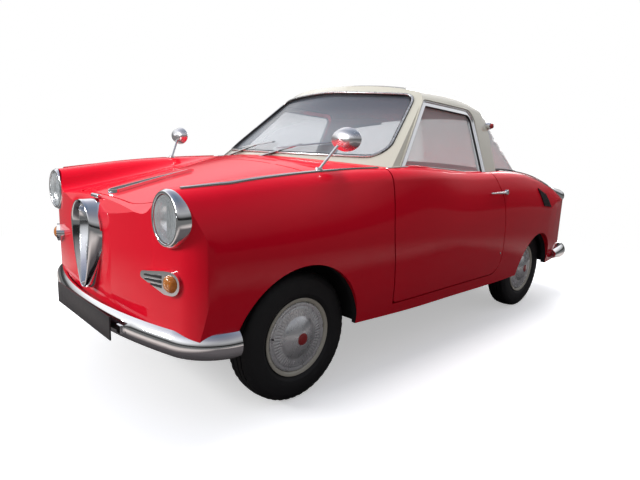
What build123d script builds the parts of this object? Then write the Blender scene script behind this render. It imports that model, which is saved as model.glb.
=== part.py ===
"""Microcar coupe: a small two-door, rear-engined coupe, built as an assembly of its real panels,
lamps, glass, seats, axles and wheels. Millimetres, +Z up, front towards -Y, the car's left is +X.
The origin is on the ground, in the middle of the car's length and width."""
from build123d import *
import math
import os

os.makedirs("parts", exist_ok=True)

# Overall car
LENGTH = 3035.0
FRONT_AXLE_Y = -977.5
WHEELBASE = 1800.0
REAR_AXLE_Y = FRONT_AXLE_Y + WHEELBASE
FRONT_TRACK = 1090.0
REAR_TRACK = 1070.0

# Gaps and wall thicknesses
PANEL_GAP = 6.0
SEAT_GAP = 0.3
DOOR_WALL = 55.0
LID_WALL = 18.0
ROOF_WALL = 26.0
GLASS_WALL = 5.0
GLASS_DEPTH = 9.0
FRAME_WIDTH = 20.0
FRAME_DEPTH = 20.0

# Wheels and tyres
TYRE_RADIUS = 237.7
TYRE_HALF_WIDTH = 58.0
TREAD_HALF_WIDTH = 40.0
RIM_RADIUS = 132.0
FLANGE_RADIUS = 143.0
RIM_WALL = 4.0
RIM_WIDTH = 92.0
DISC_OUT = 24.0
DISC_WALL = 6.0
HUB_BORE = 16.0
HUBCAP_RADIUS = 125.0
FLUTE_RADIUS = 78.0
BADGE_RADIUS = 21.5
DRUM_RADIUS = 104.0
DRUM_DEPTH = 22.0
STEER_ANGLE = 24.0
KINGPIN_X = 500.0
KINGPIN_RADIUS = 11.0
KINGPIN_HALF = 68.0
EYE_RADIUS = 20.0
EYE_DEPTH = 13.0
POST_X = 430.0
AXLE_Z = 215.0
AXLE_RADIUS = 20.0
ARM_X = 330.0
ARM_FRONT_Y = 580.0

# Engine, gearbox and silencer
GEARBOX_HALF = 110.0
ENGINE_HALF = 230.0
ENGINE_FRONT_Y = 895.0
ENGINE_REAR_Y = 1225.0
ENGINE_LOW_Z = 245.0
ENGINE_TOP_Z = 560.0
SILENCER_Y = 1322.0
SILENCER_Z = 268.0

# Plan of the nose and tail, which the body sections are trimmed to
NOSE_Y = -1462.0
NOSE_SIDE = (545.0, -1408.0)
NOSE_CORNER = (652.0, -1290.0)
TAIL_Y = 1462.0
TAIL_SIDE = (430.0, 1422.0)
TAIL_CORNER = (622.0, 1233.0)
TRIM_HALF = 760.0
BROW_RADIUS = 46.0
BROW_Z = 694.0

# Doors: side outline (y, z, corner radius), hinge line and opening angle
DOOR_OUTLINE = (
    (-528.0, 288.0, 30.0),
    (-577.0, 590.0, 500.0),
    (-560.0, 930.0, 0.0),
    (232.0, 930.0, 0.0),
    (256.0, 806.0, 60.0),
    (326.0, 690.0, 120.0),
    (380.0, 288.0, 90.0),
)
DOOR_INNER_X = 588.0
LEAF_GAP = 0.6
LEAF_X = (655.0, 668.0)
DOOR_LEAVES = (((-620.0, -520.0), (400.0, 430.0)), ((-620.0, -520.0), (640.0, 670.0)), ((300.0, 420.0), (520.0, 550.0)))
HINGE_X = 684.0
HINGE_Y = -577.0

# Wheel arches: centre y and z and radius in the skin, and the wells behind them
ARCH_Z = 250.0
FRONT_ARCH_Y = FRONT_AXLE_Y - 25.0
FRONT_ARCH_RADIUS = 267.0
FRONT_WELL_RADIUS = 292.0
FRONT_WELL_X = 368.0
REAR_ARCH_Y = REAR_AXLE_Y - 6.0
REAR_ARCH_RADIUS = 214.0
REAR_WELL_RADIUS = 262.0
REAR_WELL_X = 425.0
ARCH_LIP_X = 626.0

# Cabin, luggage space and engine bay, which the body is hollowed by
SPLIT_FRONT_Y = -528.0
SPLIT_REAR_Y = 380.0
SILL_X = 560.0
COWL_Y = -560.0
BELT_X = 585.0
CABIN_FRONT_Y = -600.0
CABIN_REAR_Y = 520.0
FLOOR_Z = 262.0
FLOOR_WALL = 22.0
FOOTWELL = (670.0, -800.0, 560.0)
TRUNK = (660.0, -1390.0, -830.0, 340.0)
ENGINE_BAY = (780.0, 700.0, 1410.0)
TUNNEL_Z = 300.0

# Bonnet and engine lid: plan outlines (x, y, corner radius) of one half
BONNET_HINGE_Y = -800.0
BONNET_OUTLINE = ((262.0, -1412.0, 70.0), (420.0, -1040.0, 900.0), (440.0, BONNET_HINGE_Y, 60.0))
LID_HINGE_Y = 1120.0
ENGINE_LID_OUTLINE = ((425.0, LID_HINGE_Y, 50.0), (385.0, 1415.0, 60.0))
LID_LEAF_X = (190.0, 225.0)

# Greenhouse sections, front to back. Columns: y, corner centre x and z, corner radius, top z, base x
ROOF_BASE_Z = 780.0
ROOF_SECTIONS = (
    (-800.0, 392.0, 1046.0, 98.0, 1160.0, 622.0),
    (-300.0, 402.0, 1076.0, 98.0, 1196.0, 630.0),
    (60.0, 405.0, 1084.0, 96.0, 1235.0, 632.0),
    (370.0, 396.0, 1060.0, 96.0, 1204.0, 622.0),
    (640.0, 372.0, 990.0, 90.0, 1124.0, 604.0),
    (1150.0, 320.0, 800.0, 80.0, 920.0, 560.0),
)
# Raked windscreen and rear window, as plan arcs at two heights.
# Columns: z, front middle y, front radius, front half width, rear middle y, rear radius, rear half width
RAKE_LEVELS = (
    (ROOF_BASE_Z, -754.0, 1222.0, 700.0, 1005.0, 658.0, 645.0),
    (1250.0, -212.0, 672.0, 480.0, 498.0, 494.0, 480.0),
)
# Side window (y, z, corner radius), whose edges slant back as they go out, and the other windows
SIDE_WINDOW = ((-548.0, 780.0, 0.0), (-162.0, 1131.0, 40.0), (258.0, 1113.0, 55.0), (186.0, 780.0, 0.0))
SIDE_WINDOW_X = 560.0
SIDE_WINDOW_SLANT = 0.30
WINDSCREEN = ((552.0, 872.0, 48.0), (448.0, 1152.0, 62.0))
WINDSCREEN_SAG = 20.0
REAR_WINDOW = ((300.0, 700.0, 0.0), (382.0, 1040.0, 90.0), (760.0, 1146.0, 0.0), (1300.0, 1146.0, 0.0), (1300.0, 700.0, 0.0))

# Tightest crown of an inner wall
CROWN_LEAST = 5.0

# Body sections, front to back. Columns: y, crown centre x and z, crown radius, valley radius,
# top z at the centreline, top radius, waist x and z, base x and z.
BODY_SECTIONS = (
    (-1480.0, 500.0, 676.0, 84.0, 60.0, 688.0, 4000.0, 606.0, 560.0, 580.0, 285.0),
    (-1330.0, 507.0, 688.0, 90.0, 70.0, 722.0, 3000.0, 636.0, 555.0, 606.0, 272.0),
    (-1100.0, 525.0, 712.0, 94.0, 90.0, 776.0, 2400.0, 662.0, 548.0, 632.0, 262.0),
    (-863.0, 545.0, 736.0, 86.0, 120.0, 824.0, 2800.0, 672.0, 548.0, 642.0, 255.0),
    (-598.0, 582.0, 764.0, 68.0, 150.0, 866.0, 4200.0, 679.0, 552.0, 645.0, 245.0),
    (-100.0, 592.0, 764.0, 62.0, 150.0, 862.0, 4600.0, 685.0, 560.0, 646.0, 236.0),
    (350.0, 592.0, 760.0, 60.0, 150.0, 852.0, 4600.0, 685.0, 560.0, 648.0, 234.0),
    (800.0, 584.0, 730.0, 56.0, 120.0, 800.0, 4200.0, 680.0, 552.0, 646.0, 242.0),
    (1100.0, 566.0, 668.0, 54.0, 100.0, 738.0, 2600.0, 664.0, 536.0, 634.0, 256.0),
    (1300.0, 545.0, 612.0, 56.0, 90.0, 690.0, 1800.0, 645.0, 520.0, 616.0, 272.0),
    (1480.0, 520.0, 520.0, 60.0, 80.0, 610.0, 1500.0, 612.0, 440.0, 590.0, 290.0),
)

# Lamps: centre (x, y, z), radius, depth and direction
HEADLAMP = (503.0, -1412.0, 680.0)
HEADLAMP_RADIUS = 87.0
HEADLAMP_LENS_RADIUS = 72.0
HEADLAMP_DEPTH = 20.0
INDICATOR = (518.0, -1412.0, 489.0)
INDICATOR_TURN = 18.0
INDICATOR_RADIUS = 27.0
# indicator pod outline (across, up, corner radius) and the heights of its slots
POD_OUTLINE = ((-122.0, 24.0, 12.0), (-122.0, 4.0, 8.0), (-24.0, -36.0, 30.0), (36.0, -36.0, 34.0),
               (36.0, 36.0, 34.0), (-24.0, 36.0, 30.0))
POD_SLOTS = (16.0, 2.0, -12.0)
TAIL_LAMP = (582.0, 1262.0, 652.0)
TAIL_LAMP_RADIUS = 40.0
TAIL_LAMP_LENGTH = 210.0
TAIL_LAMP_SLOPE = 17.0
PARKING_LAMP = (512.0, 388.0, 1048.0)
PARKING_LAMP_RADIUS = 17.0

# Grille: egg-shaped surround, as a half outline of x and z
GRILLE_TOP_Z = 690.0
GRILLE_TOP_RADIUS = 90.0
GRILLE_BOTTOM_Z = 372.0
GRILLE_BOTTOM_RADIUS = 32.0
GRILLE_SIDE_RADIUS = 560.0
GRILLE_RIM = 15.0
GRILLE_FRONT_Y = -1500.0
GRILLE_WELL_Y = -1422.0
GRILLE_BAR = 3.0
GRILLE_PITCH = 20.0
MESH_DEPTH = 12.0

# Bumpers and number plate
BUMPER_HEIGHT = 84.0
BUMPER_WALL = 10.0
BUMPER_BOW = 24.0
BUMPER_Z = 300.0
PLATE_SIZE = (520.0, 80.0)
PLATE_WALL = 5.0
PLATE_X = 28.0
PLATE_Z = 302.0
# bumper paths in plan: middle y, side point, tip
FRONT_BUMPER = (PLATE_WALL + SEAT_GAP - LENGTH / 2, (520.0, -1438.0), (664.0, -1262.0))
REAR_BUMPER = (LENGTH / 2, (500.0, 1452.0), (664.0, 1230.0))
BRACKET_X = 300.0

# Bright trim on the body: strips as plan points (x, y), and slats and handle as side outlines (y, z)
STRIP_WIDTH = 8.0
STRIP_HEIGHT = 5.0
FRONT_STRIP = ((521.0, -1388.0), (552.0, -1240.0), (562.0, -1050.0), (568.0, -860.0), (576.0, -700.0), (590.0, -592.0))
REAR_STRIP = ((594.0, 560.0), (592.0, 800.0), (584.0, 980.0), (576.0, 1090.0))
LOUVRE_TOP = ((757.0, 726.0), (875.0, 684.0))
LOUVRE_BOTTOM = ((822.0, 624.0), (940.0, 610.0))
LOUVRE_BLOCK = ((600.0, 700.0), (740.0, 960.0), (600.0, 735.0))
LOUVRE_COUNT = 6
LOUVRE_DEPTH = 7.0
HANDLE_X = 678.0
HANDLE_Y = (172.0, 318.0)
HANDLE_Z = 716.0
HANDLE_RADIUS = 6.0
HANDLE_FEET = (196.0, 300.0)
BUTTON_Y = 340.0
BUTTON_RADIUS = 13.0
ORNAMENT = ((0.0, -1396.0, 0.0), (30.0, -1384.0, 26.0), (24.0, -1300.0, 300.0), (0.0, -1060.0, 0.0))
ORNAMENT_HEIGHT = 12.0
# half length, centre y and z, radius
BONNET_HANDLE = (33.0, -1439.0, 700.0, 8.0)
MIRROR_FOOT = (545.0, -863.0, 824.0)
MIRROR_HEAD = (599.0, -792.0, 933.0)
MIRROR_RADIUS = 50.0
MIRROR_STRETCH = 1.3
# wipers: pivot (x, z), arm end (x, z), blade ends (x, z)
WIPERS = (((-60.0, 846.0), (150.0, 912.0), (30.0, 893.0), (290.0, 925.0)),
          ((-380.0, 842.0), (-170.0, 902.0), (-290.0, 888.0), (-40.0, 920.0)))

# Seats, dashboard and steering; outlines in side view (y, z, corner radius)
SEAT_X = 275.0
SEAT_WIDTH = 440.0
SEAT_OUTLINE = ((-200.0, 290.0, 30.0), (-215.0, 420.0, 45.0), (105.0, 385.0, 60.0), (205.0, 800.0, 30.0),
                (275.0, 800.0, 35.0), (200.0, 290.0, 40.0))
BENCH_WIDTH = 1000.0
BENCH_OUTLINE = ((250.0, 292.4, 0.0), (245.0, 425.0, 45.0), (420.0, 405.0, 50.0), (462.0, 735.0, 30.0),
                 (519.7, 735.0, 20.0), (519.7, 292.4, 0.0))
DASH_OUTLINE = ((-599.6, 560.0, 0.0), (-482.0, 604.0, 20.0), (-470.0, 752.0, 30.0), (-520.0, 800.0, 30.0),
                (-558.0, 788.0, 0.0), (-558.0, 762.0, 0.0), (-599.6, 762.0, 0.0))
DASH_HALF_WIDTH = 565.0
WHEEL_HUB = (275.0, -300.0, 690.0)
COLUMN_SLOPE = 34.0
STEERING_RADIUS = 188.0
STEERING_TUBE = 11.0
COLUMN_RADIUS = 18.0
HUB_DEPTH = 26.0


def body_section(y, crown_x, crown_z, crown_r, valley_r, top_z, top_r, waist_x, waist_z,
                 base_x, base_z, inset=0.0):
    """One cross-section of the red lower body, as a closed face of tangent arcs, inset by a wall."""
    crown_r = max(crown_r - inset, CROWN_LEAST)
    valley_r = valley_r + inset
    top_r = top_r - inset
    waist_x = waist_x - inset
    base_x = base_x - inset
    top_centre = Vector(0, top_z - inset - top_r)
    crown = Vector(crown_x, crown_z)
    # the valley arc lies outside both the crown circle and the top circle
    near, far = top_r + valley_r, crown_r + valley_r
    across = crown - top_centre
    along = (near**2 - far**2 + across.length**2) / (2 * across.length)
    rise = math.sqrt(near**2 - along**2)
    unit = across.normalized()
    valley = top_centre + unit * along + Vector(-unit.Y, unit.X) * rise
    valley_in = top_centre + (valley - top_centre).normalized() * top_r
    valley_out = crown + (valley - crown).normalized() * crown_r
    valley_mid = valley + ((valley_in + valley_out) / 2 - valley).normalized() * valley_r
    # the upper side arc is vertical at the waist and tangent to the crown
    out, drop = waist_x - crown_x, waist_z - crown_z
    side_r = (out**2 + drop**2 - crown_r**2) / (2 * (out - crown_r))
    side = Vector(waist_x - side_r, waist_z)
    shoulder = side + (crown - side).normalized() * side_r
    crown_mid = crown + ((shoulder + valley_out) / 2 - crown).normalized() * crown_r
    side_mid = side + ((shoulder + Vector(waist_x, waist_z)) / 2 - side).normalized() * side_r
    # the lower side arc is vertical at the waist and ends at the base
    tuck, fall = waist_x - base_x, waist_z - (base_z + inset)
    low_r = (tuck**2 + fall**2) / (2 * tuck)
    low = Vector(waist_x - low_r, waist_z)
    low_mid = low + (Vector(waist_x, waist_z) + Vector(base_x, base_z + inset) - low * 2).normalized() * low_r
    with BuildSketch(Plane.XZ.offset(-y)) as section:
        with BuildLine():
            Line((-base_x, base_z + inset), (base_x, base_z + inset))
            ThreePointArc((base_x, base_z + inset), (low_mid.X, low_mid.Y), (waist_x, waist_z))
            ThreePointArc((waist_x, waist_z), (side_mid.X, side_mid.Y), (shoulder.X, shoulder.Y))
            ThreePointArc((shoulder.X, shoulder.Y), (crown_mid.X, crown_mid.Y), (valley_out.X, valley_out.Y))
            ThreePointArc((valley_out.X, valley_out.Y), (valley_mid.X, valley_mid.Y), (valley_in.X, valley_in.Y))
            ThreePointArc((valley_in.X, valley_in.Y), (0, top_z - inset), (-valley_in.X, valley_in.Y))
            ThreePointArc((-valley_in.X, valley_in.Y), (-valley_mid.X, valley_mid.Y), (-valley_out.X, valley_out.Y))
            ThreePointArc((-valley_out.X, valley_out.Y), (-crown_mid.X, crown_mid.Y), (-shoulder.X, shoulder.Y))
            ThreePointArc((-shoulder.X, shoulder.Y), (-side_mid.X, side_mid.Y), (-waist_x, waist_z))
            ThreePointArc((-waist_x, waist_z), (-low_mid.X, low_mid.Y), (-base_x, base_z + inset))
        make_face()
    return section.sketch.faces()[0]


def body_hull(inset=0.0):
    """The whole lower body as one solid, inset by a wall thickness."""
    with BuildPart() as hull:
        loft([body_section(*row, inset=inset) for row in BODY_SECTIONS])
    return hull.part


def trimmed_plan(grow=0.0):
    """The plan outline of nose and tail, as a tall prism, let out by a clearance."""
    nose_x, nose_y = NOSE_SIDE[0], NOSE_SIDE[1] - grow
    corner_x, corner_y = NOSE_CORNER[0] + grow, NOSE_CORNER[1] - grow
    tail_x, tail_y = TAIL_SIDE[0], TAIL_SIDE[1] + grow
    rear_x, rear_y = TAIL_CORNER[0] + grow, TAIL_CORNER[1] + grow
    with BuildPart() as plan:
        with BuildSketch():
            with BuildLine():
                nose = ThreePointArc((-nose_x, nose_y), (0, NOSE_Y - grow), (nose_x, nose_y))
                TangentArc((nose_x, nose_y), (corner_x, corner_y), tangent=nose % 1)
                TangentArc((-nose_x, nose_y), (-corner_x, corner_y), tangent=(nose % 0) * -1)
                tail = ThreePointArc((tail_x, tail_y), (0, TAIL_Y + grow), (-tail_x, tail_y))
                TangentArc((tail_x, tail_y), (rear_x, rear_y), tangent=(tail % 0) * -1)
                TangentArc((-tail_x, tail_y), (-rear_x, rear_y), tangent=tail % 1)
                for side in (1, -1):
                    Polyline((side * corner_x, corner_y), (side * TRIM_HALF, corner_y + TRIM_HALF),
                             (side * TRIM_HALF, rear_y - TRIM_HALF), (side * rear_x, rear_y))
            make_face()
        extrude(amount=1300)
    return plan.part


def prism(plane, points, depth, grow=0.0, direction=None, both=False):
    """A prism of a straight-sided outline with rounded corners. Columns: u, v, corner radius."""
    with BuildPart() as block:
        with BuildSketch(plane) as outline:
            with BuildLine():
                Polyline(*[(u, v) for u, v, radius in points], close=True)
            make_face()
            for u, v, radius in points:
                if radius:
                    fillet(outline.vertices().sort_by_distance((u, v, 0))[0], radius)
            if grow:
                offset(amount=grow)
        extrude(amount=depth, dir=direction, both=both)
    return block.part


def halved(points):
    """The whole outline of one half (x, y, corner radius) and its mirror image."""
    return tuple(points) + tuple((-x, y, radius) for x, y, radius in reversed(points))


def box(x_range, y_range, z_range):
    """A block between three pairs of limits."""
    with BuildPart() as block:
        with Locations((sum(x_range) / 2, sum(y_range) / 2, sum(z_range) / 2)):
            Box(x_range[1] - x_range[0], y_range[1] - y_range[0], z_range[1] - z_range[0])
    return block.part


def roof_section(y, corner_x, corner_z, corner_r, top_z, base_x, inset=0.0):
    """One cross-section of the greenhouse: leaning sides, rounded corners and an arched top."""
    corner_r, top_z, base_x = corner_r - inset, top_z - inset, base_x - inset
    base = Vector(base_x, ROOF_BASE_Z - inset)
    corner = Vector(corner_x, corner_z)
    reach = (base - corner).length
    turn = math.acos(corner_r / reach)
    unit = (base - corner).normalized()
    side = corner + Vector(unit.X * math.cos(turn) - unit.Y * math.sin(turn),
                           unit.X * math.sin(turn) + unit.Y * math.cos(turn)) * corner_r
    rise = top_z - corner_z
    top_r = (corner_x**2 + rise**2 - corner_r**2) / (2 * (rise - corner_r))
    top = Vector(0, top_z - top_r)
    edge = corner + (corner - top).normalized() * corner_r
    mid = corner + ((side + edge) / 2 - corner).normalized() * corner_r
    with BuildSketch(Plane.XZ.offset(-y)) as section:
        with BuildLine():
            Line((-base.X, base.Y), (base.X, base.Y))
            Line((base.X, base.Y), (side.X, side.Y))
            ThreePointArc((side.X, side.Y), (mid.X, mid.Y), (edge.X, edge.Y))
            ThreePointArc((edge.X, edge.Y), (0, top_z), (-edge.X, edge.Y))
            ThreePointArc((-edge.X, edge.Y), (-mid.X, mid.Y), (-side.X, side.Y))
            Line((-side.X, side.Y), (-base.X, base.Y))
        make_face()
    return section.sketch.faces()[0]


def rake_outline(z, front_y, front_r, front_x, rear_y, rear_r, rear_x, inset=0.0):
    """The plan outline between windscreen and rear window at one height."""
    front_edge = front_y + front_r - math.sqrt(front_r**2 - front_x**2)
    rear_edge = rear_y - rear_r + math.sqrt(rear_r**2 - rear_x**2)
    front_y, front_edge = front_y + inset, front_edge + inset
    rear_y, rear_edge = rear_y - inset, rear_edge - inset
    with BuildSketch(Plane.XY.offset(z)) as outline:
        with BuildLine():
            ThreePointArc((-front_x, front_edge), (0, front_y), (front_x, front_edge))
            Line((front_x, front_edge), (rear_x, rear_edge))
            ThreePointArc((rear_x, rear_edge), (0, rear_y), (-rear_x, rear_edge))
            Line((-rear_x, rear_edge), (-front_x, front_edge))
        make_face()
    return outline.sketch.faces()[0]


def greenhouse(inset=0.0):
    """The outer form of roof and windows as one solid, inset by a wall thickness."""
    with BuildPart() as rake:
        lean = (RAKE_LEVELS[1][1] - RAKE_LEVELS[0][1]) / (RAKE_LEVELS[1][0] - RAKE_LEVELS[0][0])
        loft([rake_outline(*row, inset=inset * math.hypot(1, lean)) for row in RAKE_LEVELS], ruled=True)
    with BuildPart() as house:
        loft([roof_section(*row, inset=inset) for row in ROOF_SECTIONS])
        add(rake.part, mode=Mode.INTERSECT)
    return house.part


def turned(centre, axis, profile):
    """A body of revolution. Columns of the profile: radius, place along the axis, corner radius."""
    axis = Vector(*axis).normalized()
    side = Vector(0, 1, 0) if abs(axis.X) > 0.9 else Vector(1, 0, 0)
    side = (side - axis * side.dot(axis)).normalized()
    with BuildPart() as solid:
        with BuildSketch(Plane(origin=centre, x_dir=side, z_dir=side.cross(axis))) as outline:
            with BuildLine():
                Polyline(*[(r, h) for r, h, radius in profile], close=True)
            make_face()
            for r, h, radius in profile:
                if radius:
                    fillet(outline.vertices().sort_by_distance((r, h, 0))[0], radius)
        revolve(axis=Axis(centre, axis))
    return solid.part


def rod(start, end, radius):
    """A round bar between two points."""
    start, end = Vector(*start), Vector(*end)
    length = (end - start).length
    return turned(start, end - start, ((0, 0, 0), (radius, 0, 0), (radius, length, 0), (0, length, 0)))


def less(part, *cutters):
    """The part with the cutters taken away."""
    with BuildPart() as rest:
        add(part)
        for cutter in cutters:
            add(cutter, mode=Mode.SUBTRACT)
    return rest.part


def common(part, *others):
    """What the part shares with all the others."""
    with BuildPart() as shared:
        add(part)
        for other in others:
            add(other, mode=Mode.INTERSECT)
    return shared.part


def both_sides(part):
    """The part and its mirror image on the other side of the car."""
    with BuildPart() as pair:
        add(part)
        mirror(about=Plane.YZ)
    return pair.part


def save(part, name):
    """Label one node and write it."""
    part.label = name
    export_step(part, "parts/" + name + ".step")


def egg(inset, front_y, rear_y):
    """A prism of the egg outline, made of two circles and two wide arcs tangent to both."""
    top, bottom = GRILLE_TOP_RADIUS - inset, GRILLE_BOTTOM_RADIUS - inset * 0.5
    top_z = GRILLE_TOP_Z - GRILLE_TOP_RADIUS
    bottom_z = GRILLE_BOTTOM_Z + GRILLE_BOTTOM_RADIUS
    wide = GRILLE_SIDE_RADIUS
    mid_z = ((wide - bottom)**2 - (wide - top)**2 + top_z**2 - bottom_z**2) / (2 * (top_z - bottom_z))
    mid_x = math.sqrt((wide - top)**2 - (mid_z - top_z)**2)
    middle = Vector(-mid_x, mid_z)
    upper = Vector(0, top_z) + (Vector(0, top_z) - middle).normalized() * top
    lower = Vector(0, bottom_z) + (Vector(0, bottom_z) - middle).normalized() * bottom
    waist = middle + ((upper + lower) / 2 - middle).normalized() * wide
    with BuildPart() as block:
        with BuildSketch(Plane.XZ.offset(-rear_y)):
            with BuildLine():
                ThreePointArc((-upper.X, upper.Y), (0, top_z + top), (upper.X, upper.Y))
                ThreePointArc((upper.X, upper.Y), (waist.X, waist.Y), (lower.X, lower.Y))
                ThreePointArc((lower.X, lower.Y), (0, bottom_z - bottom), (-lower.X, lower.Y))
                ThreePointArc((-lower.X, lower.Y), (-waist.X, waist.Y), (-upper.X, upper.Y))
            make_face()
        extrude(amount=rear_y - front_y)
    return block.part


# Lower body: one outer form, which every panel is cut from
with BuildPart() as outer:
    add(body_hull())
    add(trimmed_plan(), mode=Mode.INTERSECT)
    brow = ((NOSE_Y - 1, 100.0, 0), (NOSE_Y - 1, BROW_Z - BROW_RADIUS, BROW_RADIUS), (NOSE_Y + 32, BROW_Z + 8, 0),
            (NOSE_Y + 54, BROW_Z + 96, 0), (NOSE_Y + 160, 1300.0, 0), (TRIM_HALF * 2 + 100, 1300.0, 0),
            (TRIM_HALF * 2 + 100, 100.0, 0))
    add(prism(Plane.YZ, brow, TRIM_HALF, both=True), mode=Mode.INTERSECT)
body = outer.part
seat_block = common(body_hull(-SEAT_GAP), trimmed_plan(SEAT_GAP))
door_lining = body_hull(DOOR_WALL)

# Openings for the doors, as prisms out through one side. Hinge leaves in front and a striker
# behind stand in the gap and carry the door
door_pocket = prism(Plane.YZ.offset(DOOR_INNER_X), DOOR_OUTLINE, 200)
door_blank = prism(Plane.YZ.offset(DOOR_INNER_X + PANEL_GAP), DOOR_OUTLINE, 200, grow=-PANEL_GAP)
door_rim = less(door_pocket, prism(Plane.YZ.offset(DOOR_INNER_X - 10), DOOR_OUTLINE, 250, grow=LEAF_GAP - PANEL_GAP))
for leaf_y, leaf_z in DOOR_LEAVES:
    leaf = common(door_rim, box(LEAF_X, leaf_y, leaf_z))
    door_pocket = less(door_pocket, leaf)

# Cabin: inside the side walls below the belt, inside the roof walls above it, with a footwell
cabin = common(door_lining, box((-700, 700), (CABIN_FRONT_Y, CABIN_REAR_Y), (FLOOR_Z, 1000)))
belt_hole = common(greenhouse(ROOF_WALL + SEAT_GAP), box((-700, 700), (COWL_Y, CABIN_REAR_Y), (700, 1000)))
belt_step = box((-BELT_X, BELT_X), (COWL_Y, CABIN_REAR_Y), (755, ROOF_BASE_Z + 1))
foot_x, foot_y, foot_z = FOOTWELL
footwell = box((-foot_x / 2, foot_x / 2), (foot_y, CABIN_FRONT_Y + 1), (FLOOR_Z + FLOOR_WALL, foot_z))

# Lids: the zone that each lid fills in the skin, with the gap all round and beneath
lid_ledge = body_hull(LID_WALL + PANEL_GAP)
lid_lining = body_hull(LID_WALL)
bonnet_zone = less(prism(Plane.XY.offset(400), halved(BONNET_OUTLINE), 600), lid_ledge,
                   both_sides(box(LID_LEAF_X, (BONNET_HINGE_Y - PANEL_GAP + LEAF_GAP, BONNET_HINGE_Y + 20), (400, 1000))))
engine_lid_zone = less(prism(Plane.XY.offset(400), halved(ENGINE_LID_OUTLINE), 600), lid_ledge,
                       both_sides(box(LID_LEAF_X, (LID_HINGE_Y - 20, LID_HINGE_Y + PANEL_GAP - LEAF_GAP), (400, 1000))))
trunk_x, trunk_front, trunk_rear, trunk_floor = TRUNK
trunk = common(lid_ledge, box((-trunk_x / 2, trunk_x / 2), (trunk_front, trunk_rear), (trunk_floor, 1000)))
bay_x, bay_front, bay_rear = ENGINE_BAY
engine_bay = common(lid_ledge, box((-bay_x / 2, bay_x / 2), (bay_front, bay_rear), (400, 1000)))
engine_slot = box((-bay_x / 2, bay_x / 2), (bay_front, bay_rear), (150, 401))
axle_tunnel = box((-500, 500), (REAR_AXLE_Y - 60, REAR_AXLE_Y + 60), (150, TUNNEL_Z))

# Wheel wells, wider inside than the arch in the skin
front_well = both_sides(turned((FRONT_WELL_X, FRONT_ARCH_Y, ARCH_Z), (1, 0, 0), (
    (0, 0, 0), (FRONT_WELL_RADIUS, 0, 30), (FRONT_WELL_RADIUS, ARCH_LIP_X - FRONT_WELL_X, 0),
    (FRONT_ARCH_RADIUS, ARCH_LIP_X - FRONT_WELL_X, 0), (FRONT_ARCH_RADIUS, 400, 0), (0, 400, 0))))
rear_well = both_sides(turned((REAR_WELL_X, REAR_ARCH_Y, ARCH_Z), (1, 0, 0), (
    (0, 0, 0), (REAR_WELL_RADIUS, 0, 30), (REAR_WELL_RADIUS, ARCH_LIP_X - REAR_WELL_X - 14, 0),
    (REAR_ARCH_RADIUS, ARCH_LIP_X - REAR_WELL_X - 14, 0), (REAR_ARCH_RADIUS, 400, 0), (0, 400, 0))))

# Front body: nose, front wings, cowl and firewall
front_body = less(common(body, box((-800, 800), (-1600, SPLIT_FRONT_Y), (100, 1200))), both_sides(door_pocket),
                  cabin, belt_hole, belt_step, footwell, trunk, bonnet_zone, front_well,
                  egg(GRILLE_RIM, GRILLE_FRONT_Y, GRILLE_WELL_Y))
save(front_body, "front_body")

# Rear body: tail, rear wings, parcel shelf and the walls of the engine bay
rear_body = less(common(body, box((-800, 800), (150, 1600), (100, 1200))), both_sides(door_pocket),
                 cabin, belt_hole, belt_step, engine_bay, engine_slot, axle_tunnel, engine_lid_zone, rear_well,
                 box((-800, 800), (100, SPLIT_REAR_Y), (100, DOOR_OUTLINE[0][1])),
                 box((-DOOR_INNER_X, DOOR_INNER_X), (100, SPLIT_REAR_Y), (100, FLOOR_Z + 40)))
save(rear_body, "rear_body")

# Floor pan and sills between the two
low = (100, DOOR_OUTLINE[0][1] - SEAT_GAP)
span = (SPLIT_FRONT_Y + SEAT_GAP, SPLIT_REAR_Y - SEAT_GAP)
sills = both_sides(common(body, box((SILL_X, 800), span, low)))
save(sills, "sills")
floor_pan = common(body, box((SEAT_GAP - SILL_X, SILL_X - SEAT_GAP), span, (100, FLOOR_Z)))
save(floor_pan, "floor_pan")

# Doors, each with its handle, window frame and glass
door = less(common(body, door_blank), door_lining)
save(door, "door_left")
save(door.mirror(Plane.YZ), "door_right")

# Door handles: a slim lever on two feet, and a round lock button behind it
with BuildPart() as handle:
    add(turned((HANDLE_X, HANDLE_Y[0], HANDLE_Z), (0, 1, 0), (
        (0, 0, 0), (HANDLE_RADIUS * 0.5, 0, 2), (HANDLE_RADIUS, HANDLE_Y[1] - HANDLE_Y[0], 2),
        (0, HANDLE_Y[1] - HANDLE_Y[0], 0))))
    for y in HANDLE_FEET:
        add(rod((HANDLE_X - 40, y, HANDLE_Z), (HANDLE_X, y, HANDLE_Z), HANDLE_RADIUS * 0.8))
    add(turned((HANDLE_X - 40, BUTTON_Y, HANDLE_Z), (1, 0, 0), (
        (0, 0, 0), (BUTTON_RADIUS, 0, 0), (BUTTON_RADIUS, 38, 0), (BUTTON_RADIUS - 4, 44, 3), (0, 45, 0))))
    add(seat_block, mode=Mode.SUBTRACT)
save(handle.part, "door_handle_left")
save(handle.part.mirror(Plane.YZ), "door_handle_right")

# Lids
bonnet = less(common(body, prism(Plane.XY.offset(400), halved(BONNET_OUTLINE), 600, grow=-PANEL_GAP)), lid_lining)
save(bonnet, "bonnet")
engine_lid = less(common(body, prism(Plane.XY.offset(400), halved(ENGINE_LID_OUTLINE), 600, grow=-PANEL_GAP)),
                  lid_lining)
save(engine_lid, "engine_lid")

# Roof with its pillars, and the openings for glass
house = greenhouse()
glass_outer, glass_inner = greenhouse(GLASS_DEPTH), greenhouse(GLASS_DEPTH + GLASS_WALL)


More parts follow.
